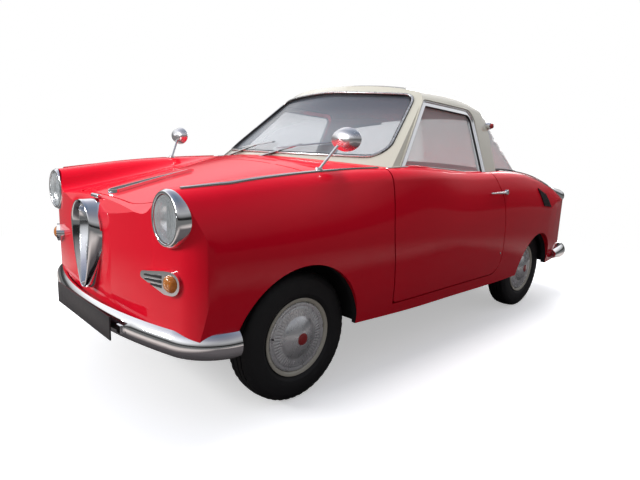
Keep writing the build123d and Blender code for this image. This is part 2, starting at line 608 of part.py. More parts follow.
def side_window(grow=0.0):
    """The opening of one side window, whose edges slant back as they go out."""
    inner_x = SIDE_WINDOW_X - 160
    plane = Plane(origin=(inner_x, -160 * SIDE_WINDOW_SLANT, 0), x_dir=(0, 1, 0), z_dir=(1, 0, 0))
    return prism(plane, SIDE_WINDOW, 340, grow=grow, direction=(1, SIDE_WINDOW_SLANT, 0))


def windscreen_opening(grow=0.0):
    """The opening of the windscreen, seen from the front."""
    crowned = WINDSCREEN + ((0.0, WINDSCREEN[1][1] + WINDSCREEN_SAG, 1500.0),)
    outline = crowned + tuple((-x, z, radius) for x, z, radius in reversed(WINDSCREEN))
    return prism(Plane.XZ.offset(150), outline, 700, grow=grow)


def rear_opening(grow=0.0):
    """The opening of the rear window, which wraps round both corners."""
    return prism(Plane.YZ, REAR_WINDOW, 800, grow=grow, both=True)


roof = less(house, greenhouse(ROOF_WALL), both_sides(side_window()), windscreen_opening(), rear_opening(), seat_block)
save(roof, "roof")
windscreen = less(common(glass_outer, windscreen_opening(-SEAT_GAP)), glass_inner, seat_block)
save(windscreen, "windscreen")
rear_window = less(common(glass_outer, rear_opening(-SEAT_GAP)), glass_inner, seat_block)
save(rear_window, "rear_window")
frame = less(common(greenhouse(2), side_window(-PANEL_GAP)), greenhouse(FRAME_DEPTH),
             side_window(-PANEL_GAP - FRAME_WIDTH), seat_block)
door_glass = less(common(glass_outer, side_window(-PANEL_GAP - FRAME_WIDTH - SEAT_GAP)), glass_inner, seat_block)
save(frame, "door_frame_left")
save(frame.mirror(Plane.YZ), "door_frame_right")
save(door_glass, "door_glass_left")
save(door_glass.mirror(Plane.YZ), "door_glass_right")


# Bumpers: a bowed blade swept round each end, on two brackets
def bumper(middle_y, side, tip):
    """One bumper blade with its brackets. The blade bows away from the car."""
    half, inward = BUMPER_HEIGHT / 2, 1 if middle_y < 0 else -1
    with BuildLine(Plane.XY.offset(BUMPER_Z)) as path:
        main = ThreePointArc((-side[0], side[1]), (0, middle_y), (side[0], side[1]))
        TangentArc((side[0], side[1]), tip, tangent=main % 1)
        TangentArc((-side[0], side[1]), (-tip[0], tip[1]), tangent=(main % 0) * -1)
    line = path.wires()[0]
    end = Plane(origin=line @ 0, x_dir=(0, 0, 1), z_dir=line % 0)
    out = 1 if end.y_dir.X * end.origin.X > 0 else -1
    with BuildPart() as blade:
        with BuildSketch(end):
            with BuildLine():
                ThreePointArc((-half, -BUMPER_BOW * out), (0, 0), (half, -BUMPER_BOW * out))
                Line((half, -BUMPER_BOW * out), (half - 4, -(BUMPER_BOW + BUMPER_WALL) * out))
                ThreePointArc((half - 4, -(BUMPER_BOW + BUMPER_WALL) * out), (0, -BUMPER_WALL * out),
                              (4 - half, -(BUMPER_BOW + BUMPER_WALL) * out))
                Line((4 - half, -(BUMPER_BOW + BUMPER_WALL) * out), (-half, -BUMPER_BOW * out))
            make_face()
        sweep(path=line)
    reach = sorted((middle_y + inward * (BUMPER_WALL + 8), middle_y + inward * 150))
    arms = both_sides(box((BRACKET_X - 14, BRACKET_X + 14), reach, (BUMPER_Z - 14, BUMPER_Z + 14)))
    with BuildPart() as whole:
        add(blade.part)
        add(arms)
        add(seat_block, mode=Mode.SUBTRACT)
    return whole.part


save(bumper(*FRONT_BUMPER), "front_bumper")
save(bumper(*REAR_BUMPER), "rear_bumper")
plate_x, plate_z = PLATE_SIZE
number_plate = box((PLATE_X - plate_x / 2, PLATE_X + plate_x / 2), (-LENGTH / 2, PLATE_WALL - LENGTH / 2),
                   (PLATE_Z - plate_z / 2, PLATE_Z + plate_z / 2))
save(number_plate, "number_plate")

# Grille: an egg-shaped surround, and a mesh down in the well behind it
with BuildPart() as surround:
    add(egg(0, GRILLE_FRONT_Y, GRILLE_FRONT_Y + 90))
    fillet(surround.edges().group_by(Axis.Y)[0], GRILLE_RIM * 0.45)
grille_surround = less(surround.part, egg(GRILLE_RIM, GRILLE_FRONT_Y - 5, GRILLE_FRONT_Y + 95), seat_block)
save(grille_surround, "grille_surround")
with BuildPart() as bars:
    with BuildSketch(Plane.XZ.offset(MESH_DEPTH - GRILLE_WELL_Y)):
        columns = int(2 * GRILLE_TOP_RADIUS / GRILLE_PITCH) // 2 * 2 + 1
        rows = int((GRILLE_TOP_Z - GRILLE_BOTTOM_Z) / GRILLE_PITCH)
        with Locations((0, (GRILLE_TOP_Z + GRILLE_BOTTOM_Z) / 2)):
            with GridLocations(GRILLE_PITCH, 0, columns, 1):
                Rectangle(GRILLE_BAR, 400)
            with GridLocations(0, GRILLE_PITCH, 1, rows):
                Rectangle(300, GRILLE_BAR)
    extrude(amount=GRILLE_BAR)
grille_mesh = common(bars.part, egg(GRILLE_RIM + SEAT_GAP, GRILLE_FRONT_Y, GRILLE_WELL_Y))
save(grille_mesh, "grille_mesh")

# Bonnet handle: a short bar half sunk in the brow above the grille
handle_x, handle_y, handle_z, handle_r = BONNET_HANDLE
save(less(turned((-handle_x, handle_y, handle_z), (1, 0, 0), (
    (0, 0, 0), (handle_r, 0, 3), (handle_r, 2 * handle_x, 3), (0, 2 * handle_x, 0))), seat_block), "bonnet_handle")

# Bonnet ornament: a long bright drop along the middle
ornament_outline = ORNAMENT + tuple((-x, y, radius) for x, y, radius in reversed(ORNAMENT[1:-1]))
ornament = less(common(body_hull(-ORNAMENT_HEIGHT), prism(Plane.XY.offset(400), ornament_outline, 600)), seat_block)
save(ornament, "bonnet_ornament")

# Lamps
headlamp_rim = less(turned(HEADLAMP, (0, -1, 0), (
    (0, -60, 0), (HEADLAMP_RADIUS, -60, 0), (HEADLAMP_RADIUS, HEADLAMP_DEPTH - 10, 0),
    (HEADLAMP_RADIUS - 6, HEADLAMP_DEPTH, 4), (HEADLAMP_LENS_RADIUS + SEAT_GAP, HEADLAMP_DEPTH, 2),
    (HEADLAMP_LENS_RADIUS + SEAT_GAP, 6, 0), (0, 6, 0))), seat_block)
save(both_sides(headlamp_rim), "headlamp_rims")
headlamp_lens = less(turned(HEADLAMP, (0, -1, 0), (
    (0, 6 + SEAT_GAP, 0), (HEADLAMP_LENS_RADIUS, 6 + SEAT_GAP, 0), (HEADLAMP_LENS_RADIUS, HEADLAMP_DEPTH - 7, 3),
    (HEADLAMP_LENS_RADIUS * 0.6, HEADLAMP_DEPTH + 4, 50), (0, HEADLAMP_DEPTH + 7, 0))), seat_block)
save(both_sides(headlamp_lens), "headlamp_lenses")

turn = math.radians(INDICATOR_TURN)
pod_out = (math.sin(turn), -math.cos(turn), 0)
pod_plane = Plane(origin=INDICATOR, x_dir=(math.cos(turn), math.sin(turn), 0), z_dir=pod_out)
pod_block = prism(Plane(origin=Vector(*INDICATOR) - Vector(*pod_out) * 90, x_dir=pod_plane.x_dir, z_dir=pod_out),
                  POD_OUTLINE, 104)
with BuildPart() as slots:
    with BuildSketch(pod_plane.offset(6)):
        for height in POD_SLOTS:
            with Locations((-66, height)):
                Rectangle(66, 6)
    extrude(amount=40)
pod_seat = turned(INDICATOR, pod_out, ((0, 4, 0), (INDICATOR_RADIUS + SEAT_GAP, 4, 0),
                                       (INDICATOR_RADIUS + SEAT_GAP, 60, 0), (0, 60, 0)))
save(both_sides(less(pod_block, slots.part, pod_seat, seat_block)), "indicator_pods")
indicator_lens = turned(INDICATOR, pod_out, (
    (0, 4 + SEAT_GAP, 0), (INDICATOR_RADIUS, 4 + SEAT_GAP, 0), (INDICATOR_RADIUS, 16, 5),
    (INDICATOR_RADIUS * 0.6, 27, 20), (0, 29, 0)))
save(both_sides(less(indicator_lens, seat_block)), "indicator_lenses")

slope = math.radians(TAIL_LAMP_SLOPE)
lamp_axis = (0, math.cos(slope), -math.sin(slope))
tail_pod = less(turned(TAIL_LAMP, lamp_axis, (
    (0, -TAIL_LAMP_LENGTH, 0), (TAIL_LAMP_RADIUS * 0.6, -TAIL_LAMP_LENGTH * 0.62, 300),
    (TAIL_LAMP_RADIUS, -TAIL_LAMP_LENGTH * 0.12, 60), (TAIL_LAMP_RADIUS, 0, 3), (0, 0, 0))), seat_block)
tail_lens = less(turned(TAIL_LAMP, lamp_axis, (
    (0, SEAT_GAP, 0), (TAIL_LAMP_RADIUS - 5, SEAT_GAP, 0), (TAIL_LAMP_RADIUS - 5, 10, 6),
    (TAIL_LAMP_RADIUS * 0.5, 22, 20), (0, 25, 0))), seat_block)
roof_skin = greenhouse(-SEAT_GAP)
parking_pod = less(turned(PARKING_LAMP, (1, 0, 0), (
    (0, -40, 0), (PARKING_LAMP_RADIUS, -40, 0), (PARKING_LAMP_RADIUS, 14, 4), (0, 14, 0))), roof_skin)
parking_lens = turned(PARKING_LAMP, (1, 0, 0), (
    (0, 14 + SEAT_GAP, 0), (PARKING_LAMP_RADIUS - 4, 14 + SEAT_GAP, 0), (PARKING_LAMP_RADIUS - 5, 24, 4), (0, 28, 0)))
with BuildPart() as lamp_pods:
    add(both_sides(tail_pod))
    add(both_sides(parking_pod))
save(lamp_pods.part, "rear_lamp_pods")
with BuildPart() as rear_lenses:
    add(both_sides(tail_lens))
    add(both_sides(parking_lens))
save(rear_lenses.part, "rear_lamp_lenses")

# Bright strips along the wings, and the slats behind the doors
def strip(points):
    """A narrow band along a wing, seen from above."""
    half = STRIP_WIDTH / 2
    outline = [(x - half, y, 0) for x, y in points] + [(x + half, y, 0) for x, y in reversed(points)]
    return prism(Plane.XY.offset(400), outline, 600)


with BuildPart() as strips:
    for points in (FRONT_STRIP, REAR_STRIP):
        add(strip(points))
strips = less(common(body_hull(-STRIP_HEIGHT), strips.part), seat_block)
save(both_sides(strips), "wing_strips")

with BuildPart() as louvres:
    for number in range(LOUVRE_COUNT):
        share = (number + 0.25) / LOUVRE_COUNT
        lean = (number + 0.8) / LOUVRE_COUNT
        corners = [Vector(*ends[0]) + (Vector(*ends[1]) - Vector(*ends[0])) * part_way
                   for ends, part_way in ((LOUVRE_TOP, share), (LOUVRE_TOP, lean),
                                          (LOUVRE_BOTTOM, lean), (LOUVRE_BOTTOM, share))]
        add(prism(Plane.YZ.offset(560), [(p.X, p.Y, 0) for p in corners], 200))
louvre_skin = less(common(body_hull(-LOUVRE_DEPTH), box(*LOUVRE_BLOCK)), seat_block)
save(both_sides(common(louvre_skin, louvres.part)), "side_louvres")

# Door mirrors stand on the front wings
foot, head = Vector(*MIRROR_FOOT), Vector(*MIRROR_HEAD)
with BuildPart() as mirror_left:
    add(turned(foot - Vector(0, 0, 20), (0, 0, 1), ((0, 0, 0), (16, 0, 0), (13, 28, 6), (0, 28, 0))))
    add(rod(foot, head, 5))
    cup = turned((0, 0, 0), (0, 1, 0), ((0, -28, 0), (MIRROR_RADIUS * 0.7, -18, 30), (MIRROR_RADIUS, 6, 4),
                                        (MIRROR_RADIUS - 5, 12, 2), (0, 12, 0)))
    add(scale(cup, by=(MIRROR_STRETCH, 1, 1), mode=Mode.PRIVATE).moved(Location(head)))
    add(seat_block, mode=Mode.SUBTRACT)
save(both_sides(mirror_left.part), "mirrors")

# Wipers lie over the glass
with BuildPart() as arms:
    for pivot, arm_end, blade_start, blade_end in WIPERS:
        for start, end, half in ((pivot, arm_end, 3.5), (blade_start, blade_end, 3.0)):
            outline = [(start[0], start[1] - half, 0), (end[0], end[1] - half, 0), (end[0], end[1] + half, 0),
                       (start[0], start[1] + half, 0)]
            add(prism(Plane.XZ.offset(150), outline, 800))
save(less(common(greenhouse(-14), arms.part), greenhouse(-3), seat_block), "wipers")

# Interior
save(prism(Plane.YZ, DASH_OUTLINE, DASH_HALF_WIDTH, both=True), "dashboard")
seat = prism(Plane.YZ.offset(SEAT_X - SEAT_WIDTH / 2), SEAT_OUTLINE, SEAT_WIDTH)
rails = [box((x - 12, x + 12), (-150, 150), (FLOOR_Z + SEAT_GAP, 291)) for x in (SEAT_X - 150, SEAT_X + 150)]
with BuildPart() as seats:
    add(seat)
    for rail in rails:
        add(rail)
save(both_sides(seats.part), "front_seats")
save(prism(Plane.YZ, BENCH_OUTLINE, BENCH_WIDTH / 2, both=True), "rear_bench")

# Steering wheel and column
tilt = math.radians(COLUMN_SLOPE)
wheel_axis = Vector(0, math.cos(tilt), math.sin(tilt))
hub = Vector(*WHEEL_HUB)
column_front = foot_y + SEAT_GAP
column_length = (hub.Y - column_front) / math.cos(tilt)
column = less(rod(hub - wheel_axis * (HUB_DEPTH + SEAT_GAP), hub - wheel_axis * (column_length + 60), COLUMN_RADIUS),
              box((-700, 700), (-1500, column_front), (0, 900)))
save(column, "steering_column")
wheel_plane = Plane(origin=hub, x_dir=(1, 0, 0), z_dir=wheel_axis)
with BuildPart() as steering_wheel:
    add(turned(hub, wheel_axis, ((0, -HUB_DEPTH, 0), (28, -HUB_DEPTH, 0), (34, 6, 8), (0, 10, 0))))
    with BuildSketch(Plane(origin=hub + wheel_plane.x_dir * STEERING_RADIUS, x_dir=(1, 0, 0),
                           z_dir=wheel_plane.y_dir)):
        Circle(STEERING_TUBE)
    revolve(axis=Axis(hub, wheel_axis))
    with BuildSketch(wheel_plane.offset(-5)):
        Rectangle(2 * STEERING_RADIUS, 22)
    extrude(amount=8)
save(steering_wheel.part, "steering_wheel")

# Tyres, wheels and hubcaps
rim_half = RIM_WIDTH / 2
tyre_profile = (
    (RIM_RADIUS, -rim_half, 0), (FLANGE_RADIUS + 4, -rim_half, 0), (FLANGE_RADIUS + 22, -TYRE_HALF_WIDTH, 30),
    (TYRE_RADIUS - 26, -TYRE_HALF_WIDTH, 40), (TYRE_RADIUS - 4, -TREAD_HALF_WIDTH, 14), (TYRE_RADIUS, -10, 0),
    (TYRE_RADIUS, 10, 0), (TYRE_RADIUS - 4, TREAD_HALF_WIDTH, 14), (TYRE_RADIUS - 26, TYRE_HALF_WIDTH, 40),
    (FLANGE_RADIUS + 22, TYRE_HALF_WIDTH, 30), (FLANGE_RADIUS + 4, rim_half, 0), (RIM_RADIUS, rim_half, 0))
seat_r = RIM_RADIUS - SEAT_GAP
seat_w = rim_half + SEAT_GAP
barrel = seat_r - RIM_WALL
rim_profile = (
    (FLANGE_RADIUS, -seat_w - RIM_WALL, 0), (FLANGE_RADIUS, -seat_w, 0), (seat_r, -seat_w, 0), (seat_r, seat_w, 0),
    (FLANGE_RADIUS, seat_w, 0), (FLANGE_RADIUS, seat_w + RIM_WALL, 0), (barrel, seat_w + RIM_WALL, 4),
    (barrel, DISC_OUT, 0), (HUB_BORE, DISC_OUT, 0), (HUB_BORE, DISC_OUT - DISC_WALL, 0),
    (barrel, DISC_OUT - DISC_WALL, 0), (barrel, -seat_w - RIM_WALL, 4))
cap_profile = (
    (0, DISC_OUT + SEAT_GAP, 0), (HUBCAP_RADIUS - 4, DISC_OUT + SEAT_GAP, 0), (HUBCAP_RADIUS, DISC_OUT + 20, 4),
    (HUBCAP_RADIUS - 10, DISC_OUT + 23, 4), (FLUTE_RADIUS, DISC_OUT + 27, 8),
    (BADGE_RADIUS * 2, DISC_OUT + 44, 60), (BADGE_RADIUS, DISC_OUT + 49, 0), (BADGE_RADIUS - 2, DISC_OUT + 51, 1),
    (0, DISC_OUT + 52, 0))
drum_out = DISC_OUT - DISC_WALL - SEAT_GAP
drum_profile = (
    (HUB_BORE + 6, drum_out, 0), (DRUM_RADIUS, drum_out, 0), (DRUM_RADIUS, -DRUM_DEPTH, 0),
    (DRUM_RADIUS - 6, -DRUM_DEPTH, 0), (DRUM_RADIUS - 6, drum_out - 6, 0), (HUB_BORE + 6, drum_out - 6, 0))
for axle, axle_y, track in (("front", FRONT_AXLE_Y, FRONT_TRACK), ("rear", REAR_AXLE_Y, REAR_TRACK)):
    centre = (track / 2, axle_y, TYRE_RADIUS)
    tyre = turned(centre, (1, 0, 0), tyre_profile)
    with BuildPart() as wheel:
        add(turned(centre, (1, 0, 0), rim_profile))
        add(turned(centre, (1, 0, 0), cap_profile))
        add(turned(centre, (1, 0, 0), drum_profile))
    save(tyre, "tyre_" + axle + "_left")
    save(tyre.mirror(Plane.YZ), "tyre_" + axle + "_right")
    save(wheel.part, "wheel_" + axle + "_left")
    save(wheel.part.mirror(Plane.YZ), "wheel_" + axle + "_right")

# Front knuckles: kingpin, stub axle and brake backplate
front_x, rear_x = FRONT_TRACK / 2, REAR_TRACK / 2
stub_end = DISC_OUT - 1
pin_top, pin_low = TYRE_RADIUS + KINGPIN_HALF, TYRE_RADIUS - KINGPIN_HALF
with BuildPart() as knuckle:
    add(rod((KINGPIN_X, FRONT_AXLE_Y, pin_low - EYE_DEPTH - 4), (KINGPIN_X, FRONT_AXLE_Y, pin_top + EYE_DEPTH + 4),
            KINGPIN_RADIUS))
    add(rod((KINGPIN_X, FRONT_AXLE_Y, pin_low), (KINGPIN_X, FRONT_AXLE_Y, pin_top), EYE_RADIUS))
    add(rod((KINGPIN_X, FRONT_AXLE_Y, TYRE_RADIUS), (front_x + stub_end, FRONT_AXLE_Y, TYRE_RADIUS),
            HUB_BORE - SEAT_GAP))
    add(rod((front_x - DRUM_DEPTH + 2, FRONT_AXLE_Y, TYRE_RADIUS), (front_x - DRUM_DEPTH + 6, FRONT_AXLE_Y, TYRE_RADIUS),
            DRUM_RADIUS - 12))
save(knuckle.part, "knuckle_left")
save(knuckle.part.mirror(Plane.YZ), "knuckle_right")

# Front axle: cross tube under the floor, posts and eyes for the kingpins
with BuildPart() as front_axle:
    add(rod((-POST_X, FRONT_AXLE_Y, AXLE_Z), (POST_X, FRONT_AXLE_Y, AXLE_Z), AXLE_RADIUS))
    add(both_sides(box((POST_X - 12, POST_X + 12), (FRONT_AXLE_Y - 20, FRONT_AXLE_Y + 20),
                       (pin_low - EYE_DEPTH, pin_top + EYE_DEPTH))))
    add(both_sides(box((BRACKET_X - 15, BRACKET_X + 15), (FRONT_AXLE_Y - 20, FRONT_AXLE_Y + 20), (AXLE_Z, FLOOR_Z + 10))))
    for z in ((pin_low - EYE_DEPTH, pin_low - SEAT_GAP), (pin_top + SEAT_GAP, pin_top + EYE_DEPTH)):
        add(both_sides(box((POST_X, KINGPIN_X), (FRONT_AXLE_Y - 13, FRONT_AXLE_Y + 13), z)))
        add(both_sides(rod((KINGPIN_X, FRONT_AXLE_Y, z[0]), (KINGPIN_X, FRONT_AXLE_Y, z[1]), EYE_RADIUS)))
    add(both_sides(rod((KINGPIN_X, FRONT_AXLE_Y, 0), (KINGPIN_X, FRONT_AXLE_Y, 500), KINGPIN_RADIUS + SEAT_GAP)),
        mode=Mode.SUBTRACT)
    add(seat_block, mode=Mode.SUBTRACT)
save(front_axle.part, "front_axle")

# Rear axle: a half shaft and a trailing arm on each side
with BuildPart() as half_axle:
    add(rod((GEARBOX_HALF + SEAT_GAP, REAR_AXLE_Y, TYRE_RADIUS), (rear_x - DRUM_DEPTH + 3, REAR_AXLE_Y, TYRE_RADIUS),
            AXLE_RADIUS))
    add(rod((rear_x - DRUM_DEPTH, REAR_AXLE_Y, TYRE_RADIUS), (rear_x + stub_end, REAR_AXLE_Y, TYRE_RADIUS),
            HUB_BORE - SEAT_GAP))
    add(rod((rear_x - DRUM_DEPTH + 2, REAR_AXLE_Y, TYRE_RADIUS), (rear_x - DRUM_DEPTH + 6, REAR_AXLE_Y, TYRE_RADIUS),
            DRUM_RADIUS - 12))
    add(box((ARM_X - 15, ARM_X + 15), (ARM_FRONT_Y, REAR_AXLE_Y), (TYRE_RADIUS - 24, TYRE_RADIUS - 10)))
    add(box((ARM_X - 15, ARM_X + 15), (ARM_FRONT_Y, ARM_FRONT_Y + 40), (TYRE_RADIUS - 24, FLOOR_Z)))
    add(seat_block, mode=Mode.SUBTRACT)
save(both_sides(half_axle.part), "rear_axle")

# Engine with gearbox as a plain block, and the silencer behind it
with BuildPart() as engine:
    add(box((-ENGINE_HALF, ENGINE_HALF), (ENGINE_FRONT_Y, ENGINE_REAR_Y), (ENGINE_LOW_Z, ENGINE_TOP_Z)))
    add(box((-GEARBOX_HALF, GEARBOX_HALF), (REAR_AXLE_Y - 55, ENGINE_FRONT_Y), (TYRE_RADIUS - 45, TYRE_RADIUS + 50)))
save(engine.part, "engine")
with BuildPart() as exhaust:
    add(rod((-170, SILENCER_Y, SILENCER_Z), (170, SILENCER_Y, SILENCER_Z), 50))
    add(rod((60, ENGINE_REAR_Y + SEAT_GAP, SILENCER_Z + 20), (60, SILENCER_Y, SILENCER_Z + 20), 18))
    add(rod((-120, SILENCER_Y, SILENCER_Z - 25), (-120, TAIL_Y + 14, SILENCER_Z - 25), 14))
save(exhaust.part, "exhaust")
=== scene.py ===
import math
import bmesh
import bpy
from mathutils import Matrix, Vector
from mathutils.bvhtree import BVHTree


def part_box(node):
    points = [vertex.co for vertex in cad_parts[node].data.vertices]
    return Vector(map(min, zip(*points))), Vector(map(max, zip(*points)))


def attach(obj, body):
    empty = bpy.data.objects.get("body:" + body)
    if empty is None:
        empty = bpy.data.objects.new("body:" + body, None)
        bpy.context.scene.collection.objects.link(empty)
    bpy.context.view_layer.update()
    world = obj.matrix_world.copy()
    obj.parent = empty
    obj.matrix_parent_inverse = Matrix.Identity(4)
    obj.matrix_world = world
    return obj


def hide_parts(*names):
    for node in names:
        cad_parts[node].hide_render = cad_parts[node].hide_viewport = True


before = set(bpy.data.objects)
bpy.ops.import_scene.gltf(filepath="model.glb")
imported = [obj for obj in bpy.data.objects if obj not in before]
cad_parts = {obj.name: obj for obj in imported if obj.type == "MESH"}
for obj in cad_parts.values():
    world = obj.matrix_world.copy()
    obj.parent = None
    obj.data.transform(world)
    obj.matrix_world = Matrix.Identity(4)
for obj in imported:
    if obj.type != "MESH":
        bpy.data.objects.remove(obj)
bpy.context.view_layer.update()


# Camera and studio.
# The camera stands at the front left of the car, a little above the bonnet and tilted slightly. A
# pale floor, one big soft light overhead and two more, in front and behind, light the car.
def linked(name, data):
    """A new object of the scene, made from its data."""
    thing = bpy.data.objects.new(name, data)
    bpy.context.scene.collection.objects.link(thing)
    return thing
def aimed(place, azimuth, fall, roll):
    """A camera's matrix from its place, compass angle, downward angle and roll, in degrees."""
    azimuth, fall, roll = math.radians(azimuth), math.radians(fall), math.radians(roll)
    ahead = Vector((-math.sin(azimuth) * math.cos(fall), math.cos(azimuth) * math.cos(fall), -math.sin(fall)))
    right = ahead.cross(Vector((0, 0, 1))).normalized()
    up = right.cross(ahead)
    rolled_right = right * math.cos(roll) + up * math.sin(roll)
    rolled_up = up * math.cos(roll) - right * math.sin(roll)
    axes = Matrix((rolled_right, rolled_up, -ahead)).transposed().to_4x4()
    return Matrix.Translation(place) @ axes


CAMERA_PLACE = Vector((1.8254, -2.0851, 0.8989))
CAMERA_ANGLES = (45.863, 10.536, 2.337)
lens = bpy.data.cameras.new("car_camera")
lens.lens, lens.sensor_width, lens.clip_start = 27.76, 36.0, 0.02
camera = linked("car_camera", lens)
camera.matrix_world = aimed(CAMERA_PLACE, *CAMERA_ANGLES)
bpy.context.scene.camera = camera


def softbox(name, place, target, width, height, power):
    """A rectangular studio light that faces a target."""
    light = bpy.data.lights.new(name, "AREA")
    light.shape = "RECTANGLE"
    light.size, light.size_y, light.energy = width, height, power
    lamp = linked(name, light)
    lamp.location = place
    lamp.rotation_euler = (Vector(target) - Vector(place)).to_track_quat("-Z", "Y").to_euler()
    return lamp


bpy.context.scene.view_settings.view_transform = "Standard"
overhead = softbox("overhead_softbox", (-0.2, 0.5, 4.6), (0.0, 0.0, 0.4), 2.4, 3.2, 205.0)
overhead.visible_glossy = False
softbox("front_softbox", (-2.0, -5.4, 2.6), (0.0, -0.9, 0.5), 1.4, 1.2, 190.0)
softbox("rear_softbox", (-1.5, 4.6, 2.4), (0.0, 0.8, 0.6), 2.8, 1.6, 60.0)


def feed(node, inputs):
    """Fill a shader node's inputs: a socket, or a node's first output, is linked, the rest are values."""
    for name, value in dict(inputs).items():
        if isinstance(value, bpy.types.Node):
            value = value.outputs[0]
        if isinstance(value, bpy.types.NodeSocket):
            node.id_data.links.new(value, node.inputs[name])
        else:
            node.inputs[name].default_value = value


def grown(tree, kind, inputs=(), **settings):
    """A new shader node with its settings and inputs."""
    node = tree.nodes.new("ShaderNode" + kind)
    for setting, value in settings.items():
        setattr(node, setting, value)
    feed(node, inputs)
    return node


# the camera sees white, and the paint mirrors bands of grey by height, stronger on the car's right
studio = bpy.data.worlds.new("studio_surround")
bpy.context.scene.world = studio
studio.use_nodes = True
sky = studio.node_tree
sky.nodes.clear()
sky_axes = grown(sky, "SeparateXYZ", {0: grown(sky, "TexCoord").outputs["Generated"]})
sky_height = grown(sky, "Math", {0: sky_axes.outputs["Z"], 1: 0.5, 2: 0.5}, operation="MULTIPLY_ADD")
sky_bands = grown(sky, "ValToRGB", {"Fac": sky_height})
sky_steps = sky_bands.color_ramp.elements
sky_steps[0].position, sky_steps[0].color = 0.0, (0.75, 0.75, 0.75, 1.0)
sky_steps[1].position, sky_steps[1].color = 1.0, (0.26, 0.34, 0.48, 1.0)
for position, shade, blue in ((0.495, 0.45, 1.0), (0.505, 0.06, 1.0), (0.56, 0.10, 1.0), (0.60, 0.80, 1.02),
                              (0.70, 1.75, 1.03), (0.80, 1.45, 1.08), (0.88, 0.80, 1.2)):
    sky_steps.new(position).color = (shade, shade, shade * blue, 1.0)
sky_side = grown(sky, "MapRange", {"Value": sky_axes.outputs["X"], "From Min": -0.1, "From Max": 0.8,
                                   "To Min": 0.66, "To Max": 0.24})
sky_light = grown(sky, "Background", {"Color": sky_bands, "Strength": sky_side})
sky_seen = grown(sky, "Background", {"Color": (1.0, 1.0, 1.0, 1.0), "Strength": 1.0})
sky_mix = grown(sky, "MixShader", {"Fac": grown(sky, "LightPath").outputs["Is Camera Ray"], 1: sky_light,
                                   2: sky_seen})
grown(sky, "OutputWorld", {"Surface": sky_mix})


def bare():
    """Leave object mode's selection empty, so that the next operator meets only its own piece."""
    if bpy.context.object and bpy.context.object.mode != "OBJECT":
        bpy.ops.object.mode_set(mode="OBJECT")
    bpy.ops.object.select_all(action="DESELECT")


def pick(piece):
    """Select one piece alone and make it the active one."""
    bare()
    piece.select_set(True)
    bpy.context.view_layer.objects.active = piece


def blank_material(name):
    """A new material with its node tree and its shader."""
    material = bpy.data.materials.new(name)
    material.use_nodes = True
    return material, material.node_tree, material.node_tree.nodes["Principled BSDF"]


def finish(name, colour, roughness, metallic=0.0, spread=0.06, grain=30.0, coat=0.0, bump=0.0,
           bump_grain=400.0, rough_spread=0.08, sockets=()):
    """A procedural finish: a base colour that varies a little over the piece, and a fine relief."""
    material, tree, shader = blank_material(name)
    place = grown(tree, "TexCoord").outputs["Object"]
    cloud = grown(tree, "TexNoise", {"Scale": grain, "Detail": 5.0, "Vector": place}).outputs["Fac"]
    ramp = grown(tree, "ValToRGB", {"Fac": cloud})
    low, high = ramp.color_ramp.elements
    low.position, high.position = 0.3, 0.7
    low.color = tuple(max(c * (1 - spread), 0.0) for c in colour) + (1.0,)
    high.color = tuple(min(c * (1 + spread), 1.0) for c in colour) + (1.0,)
    shine = grown(tree, "MapRange", {"Value": cloud, "To Min": max(roughness * (1 - rough_spread * 3), 0.02),
                                     "To Max": min(roughness * (1 + rough_spread * 3), 1.0)})
    feed(shader, {"Base Color": ramp, "Roughness": shine, "Metallic": metallic, "Coat Weight": coat,
                  "Coat Roughness": 0.04, **dict(sockets)})
    if bump:
        ripple = grown(tree, "TexNoise", {"Scale": bump_grain, "Detail": 3.0, "Vector": place})
        relief = grown(tree, "Bump", {"Strength": bump, "Distance": 0.002, "Height": ripple.outputs["Fac"]})
        feed(shader, {"Normal": relief})
    return material


bare()
bpy.ops.mesh.primitive_plane_add(size=60.0, location=(0, 0, 0))
floor = bpy.context.object
floor.name = "studio_floor"
paper = finish("pale_floor", (0.90, 0.90, 0.90), 0.8, spread=0.01, grain=3.0)
floor.data.materials.append(paper)
# the paper fades to pure white away from the car, and mirrors as a darker ground in the paint, with a painted
# shadow of the car on that ground close round it
tree = paper.node_tree
spot = grown(tree, "TexCoord").outputs["Object"]
camera_ray = grown(tree, "LightPath").outputs["Is Camera Ray"]
far = grown(tree, "VectorMath", {0: spot}, operation="LENGTH").outputs["Value"]
fade = grown(tree, "MapRange", {"Value": far, "From Min": 1.9, "From Max": 3.6},
             interpolation_type="SMOOTHSTEP")
level = grown(tree, "MapRange", {"Value": camera_ray, "To Min": 0.16, "To Max": 1.0})
glow = grown(tree, "Emission", {"Strength": level})
axes = grown(tree, "SeparateXYZ", {0: spot})
past = []
for axis, reach in ((0, 1.50), (1, 1.60)):
    size = grown(tree, "Math", {0: axes.outputs[axis]}, operation="ABSOLUTE")
    past.append(grown(tree, "Math", {0: size, 1: reach}, operation="SUBTRACT"))
beyond = grown(tree, "Math", dict(enumerate(past)), operation="MAXIMUM")
# painted shadow: the ground is dark within a rectangle round the car, and lighter beyond it
ground_and_painted_shadow = grown(tree, "ValToRGB", {"Fac": beyond})
painted_shadow_step, open_ground_step = ground_and_painted_shadow.color_ramp.elements
painted_shadow_step.position, painted_shadow_step.color = 0.10, (0.10, 0.09, 0.09, 1.0)
open_ground_step.position, open_ground_step.color = 0.45, (0.56, 0.50, 0.46, 1.0)
ground = grown(tree, "BsdfDiffuse", {"Color": ground_and_painted_shadow})
lift = grown(tree, "Emission", {"Strength": 0.42})
lit_paper = grown(tree, "AddShader", {0: tree.nodes["Principled BSDF"], 1: lift})
near = grown(tree, "MixShader", {"Fac": camera_ray, 1: ground, 2: lit_paper})
feed(tree.nodes["Material Output"], {"Surface": grown(tree, "MixShader", {"Fac": fade, 1: near, 2: glow})})

